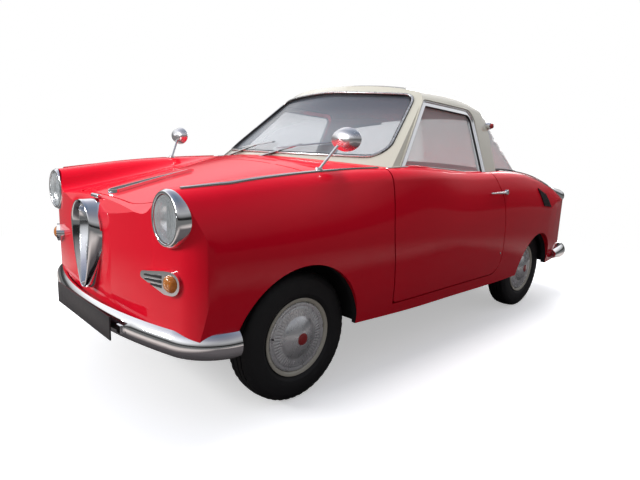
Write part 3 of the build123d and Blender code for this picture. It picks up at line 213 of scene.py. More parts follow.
# Painted panels.
# Pressed sheet steel, welded and hung, sprayed in a bright red enamel that was rubbed down and
# polished. The paint has a faint ripple. Below and inside the wheel wells it is under a black sealer.
red_enamel = finish("red_enamel", (0.74, 0.001, 0.018), 0.55, spread=0.02, grain=6.0, coat=0.7,
                    rough_spread=0.02, sockets=(("Specular IOR Level", 0.06), ("Coat Roughness", 0.025),
                                                ("Coat IOR", 1.40)))
black_sealer = finish("black_sealer", (0.012, 0.012, 0.013), 0.75, spread=0.3, grain=90.0, bump=0.5,
                      bump_grain=500.0)
PANELS = {
    "front_body": "shell", "rear_body": "shell", "sills": "shell", "door_left": "door_left",
    "door_right": "door_right", "bonnet": "bonnet", "engine_lid": "engine_lid",
}


def smooth_copy(node, name, angle=28.0):
    """A welded, smooth-shaded copy of one CAD piece, whose flat facets would show in gloss."""
    copy = linked(name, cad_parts[node].data.copy())
    copy.data.materials.clear()
    pick(copy)
    bpy.ops.object.mode_set(mode="EDIT")
    bpy.ops.mesh.select_all(action="SELECT")
    bpy.ops.mesh.remove_doubles(threshold=0.00002)
    bpy.ops.mesh.customdata_custom_splitnormals_clear()
    bpy.ops.object.mode_set(mode="OBJECT")
    bpy.ops.object.shade_smooth_by_angle(angle=math.radians(angle))
    return copy


def settle(piece, body, material):
    """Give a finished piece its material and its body."""
    piece.data.materials.clear()
    piece.data.materials.append(material)
    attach(piece, body)
    return piece


def dressed(node, name, body, material, angle=28.0):
    """A smooth copy of one CAD piece with its finish, which takes that piece's place."""
    piece = settle(smooth_copy(node, name, angle), body, material)
    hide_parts(node)
    return piece


def inner_faces(panel, material, test):
    """Give the faces of a panel that pass a test of centre and normal a second material."""
    panel.data.materials.append(material)
    number = len(panel.data.materials) - 1
    for face in panel.data.polygons:
        if test(face.center, face.normal):
            face.material_index = number


FRONT_WELL_EDGE, REAR_WELL_EDGE, ARCH_HEIGHT, SKIN_START = 0.652, 0.640, 0.25, 0.55


def in_arch(centre, normal, axle_y, radius, inner, outer):
    """Faces of a wheel arch between two distances from the car's middle, without the outer skin."""
    return (math.hypot(centre.y - axle_y, centre.z - ARCH_HEIGHT) < radius
            and inner < abs(centre.x) < outer and (abs(centre.x) < SKIN_START or abs(normal.x) < 0.3))


def faces_road(centre, normal):
    """Faces that look down at the road."""
    return normal.z < -0.6 and centre.z < 0.33


def in_front_well(centre, normal):
    """Faces inside a front wheel arch, under the nose, or on the edge that the door closes against."""
    return (in_arch(centre, normal, -1.0025, 0.2945, 0.36, FRONT_WELL_EDGE) or faces_road(centre, normal)
            or (centre.y > -0.611 and normal.y > 0.5))


def in_rear_well(centre, normal):
    """Faces inside a rear wheel arch, in the engine bay, or under the tail."""
    bay = abs(centre.x) < 0.3905 and 0.69 < centre.y < 1.42 and centre.z < 0.70
    return (in_arch(centre, normal, 0.8165, 0.2645, 0.42, REAR_WELL_EDGE) or bay
            or faces_road(centre, normal))


def inside_of_door(centre, normal):
    """The faces of a door that look into the car."""
    return abs(centre.x) < 0.655 and normal.x * centre.x < -0.2 * abs(centre.x)


def cut_line(panel, across):
    """An extra row of edges through a panel at a distance from the car's middle, on both sides."""
    mesh = bmesh.new()
    mesh.from_mesh(panel.data)
    for sign in (1, -1):
        everything = mesh.verts[:] + mesh.edges[:] + mesh.faces[:]
        bmesh.ops.bisect_plane(mesh, geom=everything, dist=0.00001, plane_co=(sign * across, 0, 0),
                               plane_no=(1, 0, 0))
    mesh.to_mesh(panel.data)
    mesh.free()


vinyl_red = finish("red_vinyl", (0.30, 0.012, 0.016), 0.45, spread=0.12, grain=40.0, bump=0.35,
                   bump_grain=650.0)
panel_copies = {}
for node, body in PANELS.items():
    panel = dressed(node, node + "_painted", body, red_enamel)
    if node == "front_body":
        cut_line(panel, FRONT_WELL_EDGE)
        inner_faces(panel, black_sealer, in_front_well)
    if node == "rear_body":
        cut_line(panel, REAR_WELL_EDGE)
        inner_faces(panel, black_sealer, in_rear_well)
    if node.startswith("door"):
        inner_faces(panel, vinyl_red, inside_of_door)
    panel_copies[node] = panel

# Roof.
# One steel pressing with its pillars, sprayed cream, with a pale woven headlining glued inside it.
cream_enamel = finish("cream_enamel", (0.54, 0.515, 0.43), 0.50, spread=0.02, grain=5.0, coat=1.0,
                      rough_spread=0.02, sockets=(("Specular IOR Level", 0.2), ("Coat Roughness", 0.03)))
headlining = finish("woven_headlining", (0.42, 0.41, 0.37), 0.9, spread=0.15, grain=160.0, bump=0.6,
                    bump_grain=900.0)
CABIN_MIDDLE = Vector((0.0, 0.15, 0.75))
roof = dressed("roof", "roof_painted", "shell", cream_enamel, 32.0)
inner_faces(roof, headlining, lambda centre, normal: normal.dot(centre - CABIN_MIDDLE) < -0.08)

# Window seals and bright beads.
# Each fixed pane sits in a black rubber channel. The rear window's follows the pane's rim. The
# windscreen's follows the roof's lip, and the pane along its bottom, with a bright bead pressed in.
rubber = finish("black_rubber", (0.015, 0.015, 0.016), 0.6, spread=0.2, grain=60.0, bump=0.15,
                bump_grain=500.0)
chrome = finish("polished_chrome", (0.86, 0.87, 0.88), 0.07, metallic=1.0, spread=0.015, grain=20.0,
                rough_spread=0.15, bump=0.01, bump_grain=120.0)
satin_bead = finish("satin_bead", (0.74, 0.74, 0.73), 0.28, metallic=0.85, spread=0.03, grain=40.0)


def length_of(points):
    """How long a line through points is."""
    return sum((b - a).length for a, b in zip(points, points[1:]))


def chains(edges):
    """Join mesh edges that share vertices into ordered runs of points, the longest run first."""
    links = {}
    for edge in edges:
        a, b = edge.verts
        links.setdefault(a, []).append(b)
        links.setdefault(b, []).append(a)
    runs, seen = [], set()
    starts = [v for v in links if len(links[v]) == 1] + list(links)
    for start in starts:
        if start in seen:
            continue
        run, here = [start], start
        seen.add(start)
        while True:
            ahead = [v for v in links[here] if v not in seen]
            if not ahead:
                break
            here = ahead[0]
            seen.add(here)
            run.append(here)
        closed = len(run) > 2 and start in links[here] and len(links[start]) == 2
        runs.append(([v.co.copy() for v in run], closed))
    return sorted(runs, key=lambda run: -length_of(run[0]))


def lip(copy, on_reveal, on_skin):
    """The runs of edges between an opening's cut side and the skin round it, the longest first."""
    mesh = bmesh.new()
    mesh.from_mesh(copy.data)
    found = []
    for edge in mesh.edges:
        sides = [(face.calc_center_median(), face.normal) for face in edge.link_faces]
        if len(sides) == 2 and any(on_reveal(*cut) and on_skin(*skin) for cut, skin in (sides, sides[::-1])):
            found.append(edge)
    runs = chains(found)
    mesh.free()
    return runs
    return sum((b - a).length for a, b in zip(points, points[1:]))


def even(points, closed, pitch=0.012):
    """The same line with its points a fixed distance apart."""
    points = points + [points[0]] if closed else points
    total = length_of(points)
    count = max(int(total / pitch), 4)
    result, walked, index = [], 0.0, 0
    for number in range(count + (0 if closed else 1)):
        target = total * number / count
        while index < len(points) - 2 and walked + (points[index + 1] - points[index]).length < target:
            walked += (points[index + 1] - points[index]).length
            index += 1
        step = (points[index + 1] - points[index]).length
        share = min((target - walked) / step, 1.0) if step else 0.0
        result.append(points[index].lerp(points[index + 1], share))
    return result


def smoothed(points, times):
    """A line with each point drawn towards its neighbours a number of times, and its ends kept."""
    for _ in range(times):
        inner = [(a + b * 2 + c) / 4 for a, b, c in zip(points, points[1:], points[2:])]
        points = points[:1] + inner + points[-1:]
    return points


def bead(name, points, closed, radius, sides=3):
    """A tube of trim along a line, as a mesh."""
    curve = bpy.data.curves.new(name, "CURVE")
    curve.dimensions = "3D"
    curve.bevel_depth, curve.bevel_resolution = radius, sides
    curve.use_fill_caps = True
    spline = curve.splines.new("POLY")
    spline.points.add(len(points) - 1)
    for point, place in zip(spline.points, points):
        point.co = (*place, 1.0)
    spline.use_cyclic_u = closed
    pick(linked(name, curve))
    bpy.ops.object.convert(target="MESH")
    bpy.ops.object.shade_smooth_by_angle(angle=math.radians(50))
    return bpy.context.object


def joined(name, pieces):
    """Several meshes as one piece."""
    pick(pieces[0])
    for piece in pieces[1:]:
        piece.select_set(True)
    bpy.ops.object.join()
    pieces[0].name = name
    return pieces[0]


def outward(centre, normal):
    """Faces that look away from the cabin."""
    return normal.dot(centre - CABIN_MIDDLE) > 0.05


def pane_rim(node):
    """The line round a pane where its outer side meets its edge, and whether the line closes."""
    copy = smooth_copy(node, node + "_measure")
    mesh = bmesh.new()
    mesh.from_mesh(copy.data)
    found = []
    for edge in mesh.edges:
        if len(edge.link_faces) == 2:
            sides = [face.normal.dot((face.calc_center_median() - CABIN_MIDDLE).normalized())
                     for face in edge.link_faces]
            if max(sides) > 0.45 and abs(min(sides, key=abs)) < 0.35 and edge.calc_face_angle(0.0) > 0.7:
                found.append(edge)
    run = chains(found)[0]
    mesh.free()
    bpy.data.objects.remove(copy)
    return run


def in_screen_opening(centre, normal):
    """The cut sides of the windscreen's opening."""
    return abs(normal.y) < 0.06 and centre.y < -0.12 and abs(centre.x) < 0.60


SCREEN_BOTTOM, LIP_REACH = 0.875, 0.055
for opening in ("windscreen", "rear_window"):
    run, closed = pane_rim(opening)
    rim = even(run, closed)
    seams = [(rim, closed, 0.0115)]
    if opening == "windscreen":
        runs = [part for part in lip(roof, in_screen_opening, outward) if len(part[0]) > 3]
        edge_points = [point for part, loop in runs for point in even(part, loop, 0.004)]
        first = max(range(len(rim)), key=lambda number: rim[number].z)
        low = []
        for point in rim[first:] + rim[:first]:
            away = (point - CABIN_MIDDLE).normalized()
            near = [place for place in edge_points if (place - point).length < LIP_REACH]
            if near and point.z < SCREEN_BOTTOM:
                low.append(max(near, key=lambda place: (place - point).dot(away) * 1.6
                               - (place - point).length))
        seams = [(even(*runs[0]), runs[0][1], 0.0072), (smoothed(low, 3), False, 0.0085)]
    middle = sum(rim, Vector()) / len(rim)
    for number, (line, closed, wide) in enumerate(seams):
        outer, raised, sunk = [], [], []
        for point in line:
            away = (point - CABIN_MIDDLE).normalized()
            inward = (middle - point).normalized()
            outer.append(point + away * 0.0005 + inward * (wide * 0.35))
            raised.append(point + away * (wide - 0.0030) + inward * (wide * 0.5))
            sunk.append(point - away * 0.011 + inward * 0.005)
        name = opening + "_seal_" + str(number)
        settle(bead(name + "_rubber", outer, closed, wide), "shell", rubber)
        if opening == "windscreen":
            settle(bead(name + "_bright_bead", raised, closed, 0.0050), "shell", satin_bead)
        settle(bead(name + "_glazing_rubber", sunk, closed, 0.007), "shell", rubber)

# Glass.
# Clear safety glass, 5 mm thick here, slightly green at its edges. It reflects more at a glance.
def clear_glass(name, tint, least, most):
    """Glass whose see-through part gives way to reflection at a shallow angle."""
    material, tree, shader = blank_material(name)
    cloud = grown(tree, "TexNoise", {"Scale": 4.0, "Vector": grown(tree, "TexCoord").outputs["Object"]})
    ramp = grown(tree, "ValToRGB", {"Fac": cloud.outputs["Fac"]})
    low, high = ramp.color_ramp.elements
    low.color = tuple(c * 0.96 for c in tint) + (1.0,)
    high.color = tuple(tint) + (1.0,)
    edge = grown(tree, "LayerWeight", {"Blend": 0.25}).outputs["Fresnel"]
    spread = grown(tree, "MapRange", {"Value": edge, "To Min": least, "To Max": most})
    feed(shader, {"Roughness": 0.02, "IOR": 1.52, "Base Color": ramp, "Alpha": spread})
    return material


window_glass = clear_glass("window_glass", (0.62, 0.67, 0.68), 0.035, 0.55)
# the windscreen is greyer, and towards its top it darkens with a painted reflection of the dark surroundings
screen_glass = clear_glass("windscreen_glass", (0.42, 0.46, 0.50), 0.07, 0.55)
tree = screen_glass.node_tree
shader = tree.nodes["Principled BSDF"]
clear_colour, clear_alpha = (shader.inputs[name].links[0].from_socket for name in ("Base Color", "Alpha"))
# painted reflection: darker and less clear glass by height towards the windscreen's top
axes = grown(tree, "SeparateXYZ", {0: grown(tree, "TexCoord").outputs["Object"]})
shade = grown(tree, "MapRange", {"Value": axes.outputs["Z"], "From Min": 0.965, "From Max": 1.115,
                                 "To Min": 0.0, "To Max": 0.46}, interpolation_type="SMOOTHSTEP")
painted_reflection_share = grown(tree, "Math", {0: shade, 1: 1.6}, operation="MULTIPLY", use_clamp=True)
dark = grown(tree, "Mix", {"Factor": painted_reflection_share, "A": clear_colour, "B": (0.045, 0.060, 0.085, 1.0)},
             data_type="RGBA")
more = grown(tree, "Math", {0: clear_alpha, 1: shade}, operation="MAXIMUM")
feed(shader, {"Base Color": dark.outputs["Result"], "Alpha": more})
for node, body, glass in (("windscreen", "shell", screen_glass), ("rear_window", "shell", window_glass),
                          ("door_glass_left", "door_left", window_glass),
                          ("door_glass_right", "door_right", window_glass)):
    dressed(node, node + "_pane", body, glass)

# Door window frames.
# Bright drawn-brass sections plated with chrome, with a black felt and rubber channel round the
# glass, and a broad rubber post at the back.
SLANT = Vector((1.0, 0.30, 0.0)).normalized()


def looks_along_slant(normal, sign):
    """How far a face looks along a side window's slanted line, from nought to one."""
    return abs(normal.dot(Vector((SLANT.x * sign, SLANT.y, 0))))


for side, sign in (("left", 1), ("right", -1)):
    body = "door_" + side
    ring = dressed("door_frame_" + side, "door_frame_" + side + "_plated", body, chrome)
    inner_faces(ring, rubber, lambda centre, normal: (centre.y > 0.205 + (centre.z - 0.80) * 0.12
                                                      and centre.z < 1.09))
    runs = [run for run in lip(ring, lambda centre, normal: looks_along_slant(normal, sign) < 0.10,
                               lambda centre, normal: normal.x * sign > 0.5) if length_of(run[0]) > 0.4]
    # the shorter run borders the glass, the longer one the gap to the roof
    inner_run, inner_closed = runs[-1]
    line = [point - Vector((sign * 0.006, 0, 0)) for point in even(inner_run, inner_closed)]
    settle(bead("door_glass_channel_" + side, line, inner_closed, 0.0055), body, rubber)
    outer_run, outer_closed = runs[0]
    line = [point + Vector((sign * 0.002, 0, 0)) for point in even(outer_run, outer_closed)]
    settle(bead("door_frame_bead_" + side, line, outer_closed, 0.0035), body, chrome)

# Drip rails.
# A folded steel gutter over each door, painted with the roof, with a rubber draught strip under it.
for side, sign in (("left", 1), ("right", -1)):
    run, closed = lip(roof, lambda centre, normal: (looks_along_slant(normal, sign) < 0.08
                                                    and centre.x * sign > 0.3 and -0.62 < centre.y < 0.30),
                      outward)[0]
    line = even(run, closed)
    gutter = [point + Vector((sign * 0.003, 0, 0.001)) for point in line]
    settle(bead("drip_rail_" + side, gutter, closed, 0.0040), "shell", cream_enamel)
    draught = [point - Vector((sign * 0.012, 0, 0.0)) for point in line]
    settle(bead("door_draught_strip_" + side, draught, closed, 0.0045), "shell", rubber)

# Bumpers.
# Rolled steel blades, polished and chromed, bolted to two painted brackets each. The rear blade's
# tips are drawn forward and outward to their length on the car.
TIP_START, TIP_FORWARD, TIP_OUT, BLADE_HEIGHT = 1.27, 0.130, 0.010, 0.300
for node in ("front_bumper", "rear_bumper"):
    blade = smooth_copy(node, node + "_plated", 40.0)
    for vertex in blade.data.vertices:
        if node == "rear_bumper" and vertex.co.y < TIP_START and abs(vertex.co.x) > 0.55:
            share = min(1.0, (TIP_START - vertex.co.y) / 0.04)
            vertex.co += Vector((math.copysign(TIP_OUT, vertex.co.x), -TIP_FORWARD,
                                 (BLADE_HEIGHT - vertex.co.z) * 0.35)) * share
    settle(blade, "shell", chrome)
    inner_faces(blade, black_sealer, lambda centre, normal: (
        0.283 < abs(centre.x) < 0.317 and 0.284 < centre.z < 0.316 and abs(centre.y) < 1.478))
    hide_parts(node)

# Number plate.
# A blank black pressed plate with a raised rim, held by two domed bright screws.
def block(name, place, size):
    """A plain box."""
    bare()
    bpy.ops.mesh.primitive_cube_add(size=1.0, location=place)
    piece = bpy.context.object
    piece.name = name
    piece.scale = size
    bpy.ops.object.transform_apply(location=True, rotation=True, scale=True)
    return piece


def rounded(piece, width, segments, angle):
    """Round a piece's edges and shade it smooth up to an angle in degrees."""
    pick(piece)
    edge = piece.modifiers.new("rounded_edge", "BEVEL")
    edge.width, edge.segments = width, segments
    bpy.ops.object.modifier_apply(modifier="rounded_edge")
    bpy.ops.object.shade_smooth_by_angle(angle=math.radians(angle))


plate_low, plate_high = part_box("number_plate")
plate_middle = (plate_low + plate_high) / 2
plate_black = finish("plate_black", (0.018, 0.018, 0.020), 0.42, spread=0.25, grain=50.0, bump=0.12,
                     bump_grain=300.0)
plate = block("blank_number_plate", plate_middle, plate_high - plate_low)
bpy.ops.object.mode_set(mode="EDIT")
bpy.ops.mesh.select_all(action="DESELECT")
cage = bmesh.from_edit_mesh(plate.data)
for face in cage.faces:
    face.select_set(face.normal.y < -0.9)
bmesh.update_edit_mesh(plate.data)
bpy.ops.mesh.inset(thickness=0.004, depth=0.0)
bpy.ops.mesh.inset(thickness=0.0015, depth=-0.0018)
bpy.ops.object.mode_set(mode="OBJECT")
rounded(plate, 0.0008, 2, 35)
settle(plate, "shell", plate_black)
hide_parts("number_plate")
screws = []
for across in (-0.235, 0.235):
    bare()
    place = (plate_middle.x + across, plate_low.y + 0.0026, plate_middle.z)
    bpy.ops.mesh.primitive_uv_sphere_add(segments=20, ring_count=10, radius=0.006, location=place)
    screw = bpy.context.object
    screw.scale = (1.0, 0.42, 1.0)
    bpy.ops.object.transform_apply(location=True, rotation=True, scale=True)
    bpy.ops.object.shade_smooth()
    screws.append(screw)
settle(joined("plate_screws", screws), "shell", chrome)

# Grille.
# A deep chromed surround that flares out where it meets the nose, and far down in it a mesh of
# crimped bright wire over black.
def egg_outline(inset, top_z, top_r, bottom_z, bottom_r, side_r, count):
    """Points (x, z) round the grille's egg shape: two circles joined by wide arcs."""
    top, bottom = top_r - inset, bottom_r - inset * 0.5
    high, low = top_z - top_r, bottom_z + bottom_r
    mid_z = ((side_r - bottom) ** 2 - (side_r - top) ** 2 + high ** 2 - low ** 2) / (2 * (high - low))
    mid_x = math.sqrt((side_r - top) ** 2 - (mid_z - high) ** 2)
    upper = math.atan2(high - mid_z, mid_x)
    lower = math.atan2(low - mid_z, mid_x)
    right = [(top * math.cos(a), high + top * math.sin(a))
             for a in (upper + (math.pi / 2 - upper) * i / count for i in range(count, -1, -1))]
    right += [(side_r * math.cos(a) - mid_x, mid_z + side_r * math.sin(a))
              for a in (upper + (lower - upper) * i / count for i in range(1, count))]
    right += [(bottom * math.cos(a), low + bottom * math.sin(a))
              for a in (lower + (-math.pi / 2 - lower) * i / count for i in range(count + 1))]
    return right + [(-x, z) for x, z in reversed(right[1:-1])]


def surface_of(piece):
    """A search tree over a piece's faces, for rays."""
    return BVHTree.FromPolygons([vertex.co for vertex in piece.data.vertices],
                                [face.vertices for face in piece.data.polygons])


def faces_outward(piece):
    """Turn a closed piece's faces to the outside."""
    pick(piece)
    bpy.ops.object.mode_set(mode="EDIT")
    bpy.ops.mesh.select_all(action="SELECT")
    bpy.ops.mesh.normals_make_consistent(inside=False)
    bpy.ops.object.mode_set(mode="OBJECT")


GRILLE = (0.690, 0.090, 0.372, 0.032, 0.560)
mesh_low, mesh_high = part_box("grille_mesh")
MESH_Y = (mesh_low.y + mesh_high.y) / 2
inner_egg = egg_outline(0.0215, *GRILLE, 12)
nose = panel_copies["front_body"]
nose_tree = surface_of(nose)
# rings of the surround: distance outside the egg outline, and share of the way to the front rim
SURROUND = ((1.0, 0.00), (0.86, 0.25), (0.55, 0.55), (0.22, 0.80), (0.04, 0.94), (-0.15, 0.99),
            (-0.45, 1.0), (-0.70, 0.97), (-0.85, 0.90))
FRONT_RIM = -1.4998
rings = [[] for number in range(len(SURROUND) + 2)]
for number, (edge_x, edge_z) in enumerate(egg_outline(0.0, *GRILLE, 16)):
    rise = min(max((edge_z - 0.55) / 0.12, 0.0), 1.0)
    flare = 0.0155 * (1 - rise * rise * (3 - 2 * rise)) + 0.0012
    hit = nose_tree.ray_cast(Vector((edge_x * 1.10, -1.60, edge_z + 0.004 * rise)), Vector((0, 1, 0)))[0]
    base = min(max(hit.y if hit else -1.42, -1.470), -1.42) + 0.003
    for ring, (share, forward) in zip(rings, SURROUND):
        away = flare * share if share > 0 else 0.0100 * share
        x, z = egg_outline(-away, *GRILLE, 16)[number]
        ring.append(Vector((x, base + (FRONT_RIM - base) * forward, z)))
    for ring, inset, y in ((rings[-2], 0.0150, max(-1.462, base - 0.072)), (rings[-1], 0.0215, -1.4235)):
        x, z = egg_outline(inset, *GRILLE, 16)[number]
        ring.append(Vector((x, y, z)))
count = len(rings[0])
faces = [(a * count + i, a * count + (i + 1) % count, b * count + (i + 1) % count, b * count + i)
         for a, b in [(k, (k + 1) % len(rings)) for k in range(len(rings))] for i in range(count)]
surround_mesh = bpy.data.meshes.new("grille_surround_flared")
surround_mesh.from_pydata([point for ring in rings for point in ring], [], faces)
surround = linked("grille_surround_flared", surround_mesh)
faces_outward(surround)
bpy.ops.object.shade_smooth_by_angle(angle=math.radians(50))
settle(surround, "shell", chrome)
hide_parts("grille_surround")


def egg_reach(height):
    """How far the grille's opening reaches to each side at a height."""
    best = 0.0
    for (x0, z0), (x1, z1) in zip(inner_egg, inner_egg[1:] + inner_egg[:1]):
        if (z0 - height) * (z1 - height) <= 0 and z0 != z1:
            best = max(best, abs(x0 + (x1 - x0) * (height - z0) / (z1 - z0)))
    return best


def in_grille_well(centre, normal):
    """Faces of the nose that lie down in the grille's well."""
    return 0.375 < centre.z < 0.690 and centre.y < -1.40 and abs(centre.x) < egg_reach(centre.z) + 0.0075


inner_faces(nose, black_sealer, in_grille_well)
WIRE_PITCH, WIRE_WAVE, COLUMN_PITCH = 0.0052, 0.0011, 0.0060
wires = []
height = 0.3850
while height < 0.6700:
    reach = egg_reach(height)
    if reach > 0.006:
        steps = max(int(reach * 2 / 0.0030), 2)
        row = [Vector((-reach + 2 * reach * i / steps, MESH_Y + WIRE_WAVE * (1 if i % 2 else -1), height))
               for i in range(steps + 1)]
        wires.append(bead("wire", row, False, 0.0012, sides=0))
    height += WIRE_PITCH
across = -0.066
while across < 0.0665:
    column = [z for z in (0.380 + 0.0026 * i for i in range(113)) if egg_reach(z) > abs(across) + 0.001]
    if len(column) > 2:
        ends = [Vector((across, MESH_Y - 0.0003, z)) for z in (column[0], column[-1])]
        wires.append(bead("wire", ends, False, 0.0009, sides=0))
    across += COLUMN_PITCH
wire_mesh = joined("grille_wire_mesh", wires)
bright_wire = finish("bright_wire", (0.78, 0.79, 0.80), 0.32, metallic=0.75, spread=0.05, grain=80.0)
settle(wire_mesh, "shell", bright_wire)
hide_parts("grille_mesh")

# Bonnet ornament.
# A long chromed drop let into the bonnet's crest, with a dark enamelled inlay down its middle.
ornament = dressed("bonnet_ornament", "bonnet_ornament_plated", "bonnet", chrome, 40.0)
black_inlay_and_slot_shade = finish("inlay_enamel_and_slot_shade", (0.02, 0.02, 0.022), 0.5, spread=0.2, grain=50.0)
mesh = bmesh.new()
mesh.from_mesh(ornament.data)
top = [face for face in mesh.faces if face.normal.z > 0.8]
bmesh.ops.inset_region(mesh, faces=top, thickness=0.0042, depth=0.0, use_boundary=True,
                       use_even_offset=True)
ornament.data.materials.append(black_inlay_and_slot_shade)
for face in top:
    if face.is_valid:
        face.material_index = len(ornament.data.materials) - 1
mesh.to_mesh(ornament.data)
mesh.free()

# Headlamps.
# Round lamps in deep chromed rims. Each has a polished bowl with a bulb, and a thick fluted lens.
dressed("headlamp_rims", "headlamp_rims_plated", "shell", chrome, 40.0)


def spun(name, profile, centre, axis, steps):
    """A turned piece: a profile of (radius, place along the axis) spun about the axis."""
    axis = Vector(axis).normalized()
    side = (Vector((0, 0, 1)) - axis * axis.z).normalized()
    mesh = bpy.data.meshes.new(name)
    points = [Vector(centre) + side * radius + axis * place for radius, place in profile]
    mesh.from_pydata(points, [(i, i + 1) for i in range(len(points) - 1)], [])
    piece = linked(name, mesh)
    pick(piece)
    bpy.ops.object.mode_set(mode="EDIT")
    bpy.ops.mesh.select_all(action="SELECT")
    bpy.ops.mesh.spin(steps=steps, angle=math.tau, center=centre, axis=axis)
    bpy.ops.mesh.select_all(action="SELECT")
    bpy.ops.mesh.remove_doubles(threshold=0.00002)
    bpy.ops.mesh.normals_make_consistent(inside=False)
    bpy.ops.object.mode_set(mode="OBJECT")
    bpy.ops.object.shade_smooth_by_angle(angle=math.radians(35))
    return piece


def moulded(material, direction, wave_inputs, strength, distance):
    """Ridges moulded into a lamp's glass or plastic, as a relief."""
    tree = material.node_tree
    place = grown(tree, "TexCoord").outputs["Object"]
    wave = grown(tree, "TexWave", {"Vector": place, **wave_inputs}, bands_direction=direction)
    relief = grown(tree, "Bump", {"Strength": strength, "Distance": distance, "Height": wave.outputs["Fac"]})
    feed(tree.nodes["Principled BSDF"], {"Normal": relief})
    return material


LAMP_X, LAMP_Y, LAMP_Z = 0.503, -1.412, 0.680
bowl_silver = finish("lamp_bowl", (0.90, 0.91, 0.92), 0.10, metallic=1.0, spread=0.02, grain=30.0)
lens_glass = moulded(clear_glass("fluted_lamp_glass", (0.80, 0.85, 0.86), 0.28, 0.85), "X",
                     {"Scale": 45.0, "Distortion": 0.6}, 0.8, 0.003)
bowl_profile = [(0.0001, -0.0290), (0.018, -0.0270), (0.034, -0.0205), (0.048, -0.0110), (0.060, 0.0010),
                (0.0700, 0.0150)]
lens_profile = [(0.0001, 0.0262), (0.020, 0.0256), (0.040, 0.0236), (0.056, 0.0202), (0.066, 0.0166),
                (0.0712, 0.0150)]
bulb_profile = [(0.0001, 0.0040), (0.005, 0.0030), (0.0085, -0.0010), (0.0085, -0.0120), (0.011, -0.0150),
                (0.011, -0.0280)]
bowls, lenses, bulbs = [], [], []
for sign in (1, -1):
    centre = (sign * LAMP_X, LAMP_Y, LAMP_Z)
    # the nose is open behind each lamp, where the bowl goes through it
    bare()
    bpy.ops.mesh.primitive_cylinder_add(vertices=48, radius=0.0705, depth=0.09,
                                        location=(sign * LAMP_X, -1.415, LAMP_Z),
                                        rotation=(math.pi / 2, 0, 0))
    drill = bpy.context.object
    opened = nose.modifiers.new("lamp_hole", "BOOLEAN")
    opened.object, opened.operation, opened.solver = drill, "DIFFERENCE", "EXACT"
    pick(nose)
    bpy.ops.object.modifier_apply(modifier="lamp_hole")
    bpy.data.objects.remove(drill)
    bowls.append(spun("bowl", bowl_profile, centre, (0, -1, 0), 64))
    lenses.append(spun("lens", lens_profile, centre, (0, -1, 0), 64))
    bulbs.append(spun("bulb", bulb_profile, centre, (0, -1, 0), 24))
settle(joined("headlamp_bowls", bowls), "shell", bowl_silver)
settle(joined("headlamp_bulbs", bulbs), "shell", lens_glass)
headlamp_glass = settle(joined("headlamp_glasses", lenses), "shell", lens_glass)
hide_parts("headlamp_lenses")

# Front indicators.
# Die-cast chromed pods with three slots, and a round amber lens moulded in rings. The slots' shade is painted
# black: on their sides and bottoms, and as a black field laid in each.
POD_TURN = math.radians(18.0)
POD = Vector((0.518, -1.412, 0.489))
POD_OUT = Vector((math.sin(POD_TURN), -math.cos(POD_TURN), 0))
POD_SLOTS = ((0.0165, 0.034, 0.106), (0.0020, 0.035, 0.104), (-0.0125, 0.034, 0.080))


def in_pod_slot(centre, normal):
    """Faces at the bottom and sides of the pod's slots, which are painted black as shade."""
    depth = (Vector((abs(centre.x), centre.y, centre.z)) - POD).dot(POD_OUT)
    return 0.004 < depth < 0.0125 and abs(centre.z - 0.491) < 0.019 and abs(centre.x) < 0.49


pods = dressed("indicator_pods", "indicator_pods_plated", "shell", chrome, 30.0)
# painted shade: the faces inside the slots are black
inner_faces(pods, black_inlay_and_slot_shade, in_pod_slot)
# painted shade: a thin black field in each slot makes it look like a dark gap
slot_shades = []
for sign in (1, -1):
    side_axis = Vector((-math.cos(POD_TURN) * sign, -math.sin(POD_TURN), 0))
    face_axis = Vector((POD_OUT.x * sign, POD_OUT.y, 0))
    for rise, start, end in POD_SLOTS:
        slot_shade = block("slot_shade", (0, 0, 0), (1, 1, 1))
        for vertex in slot_shade.data.vertices:
            along, out, up = vertex.co.x + 0.5, vertex.co.y + 0.5, vertex.co.z
            tall = 0.0104 - 0.0040 * along
            vertex.co = (Vector((sign * POD.x, POD.y, POD.z)) + side_axis * (start + (end - start) * along)
                         + face_axis * (0.0134 + 0.0012 * out)
                         + Vector((0, 0, rise * (1 - 0.10 * along) + up * tall)))
        faces_outward(slot_shade)
        slot_shades.append(slot_shade)
settle(joined("indicator_pod_slot_shades", slot_shades), "shell", black_inlay_and_slot_shade)


def lamp_plastic(name, colour):
    """Coloured lamp plastic with moulded rings, lit a little from inside its own depth."""
    plain = finish(name, colour, 0.12, spread=0.12, grain=50.0, coat=0.5,
                   sockets=(("Transmission Weight", 0.35), ("IOR", 1.49)))
    return moulded(plain, "Z", {"Scale": 90.0}, 0.7, 0.002)


amber = lamp_plastic("amber_lamp_plastic", (0.90, 0.28, 0.01))
ruby = lamp_plastic("ruby_lamp_plastic", (0.55, 0.008, 0.010))
dressed("indicator_lenses", "indicator_lenses_amber", "shell", amber, 40.0)

# Tail lamps and parking lamps.
# Chromed teardrop housings on the ends of the rear wings and small round ones on the pillars.
dressed("rear_lamp_pods", "rear_lamp_pods_plated", "shell", chrome, 40.0)
dressed("rear_lamp_lenses", "rear_lamp_lenses_ruby", "shell", ruby, 40.0)
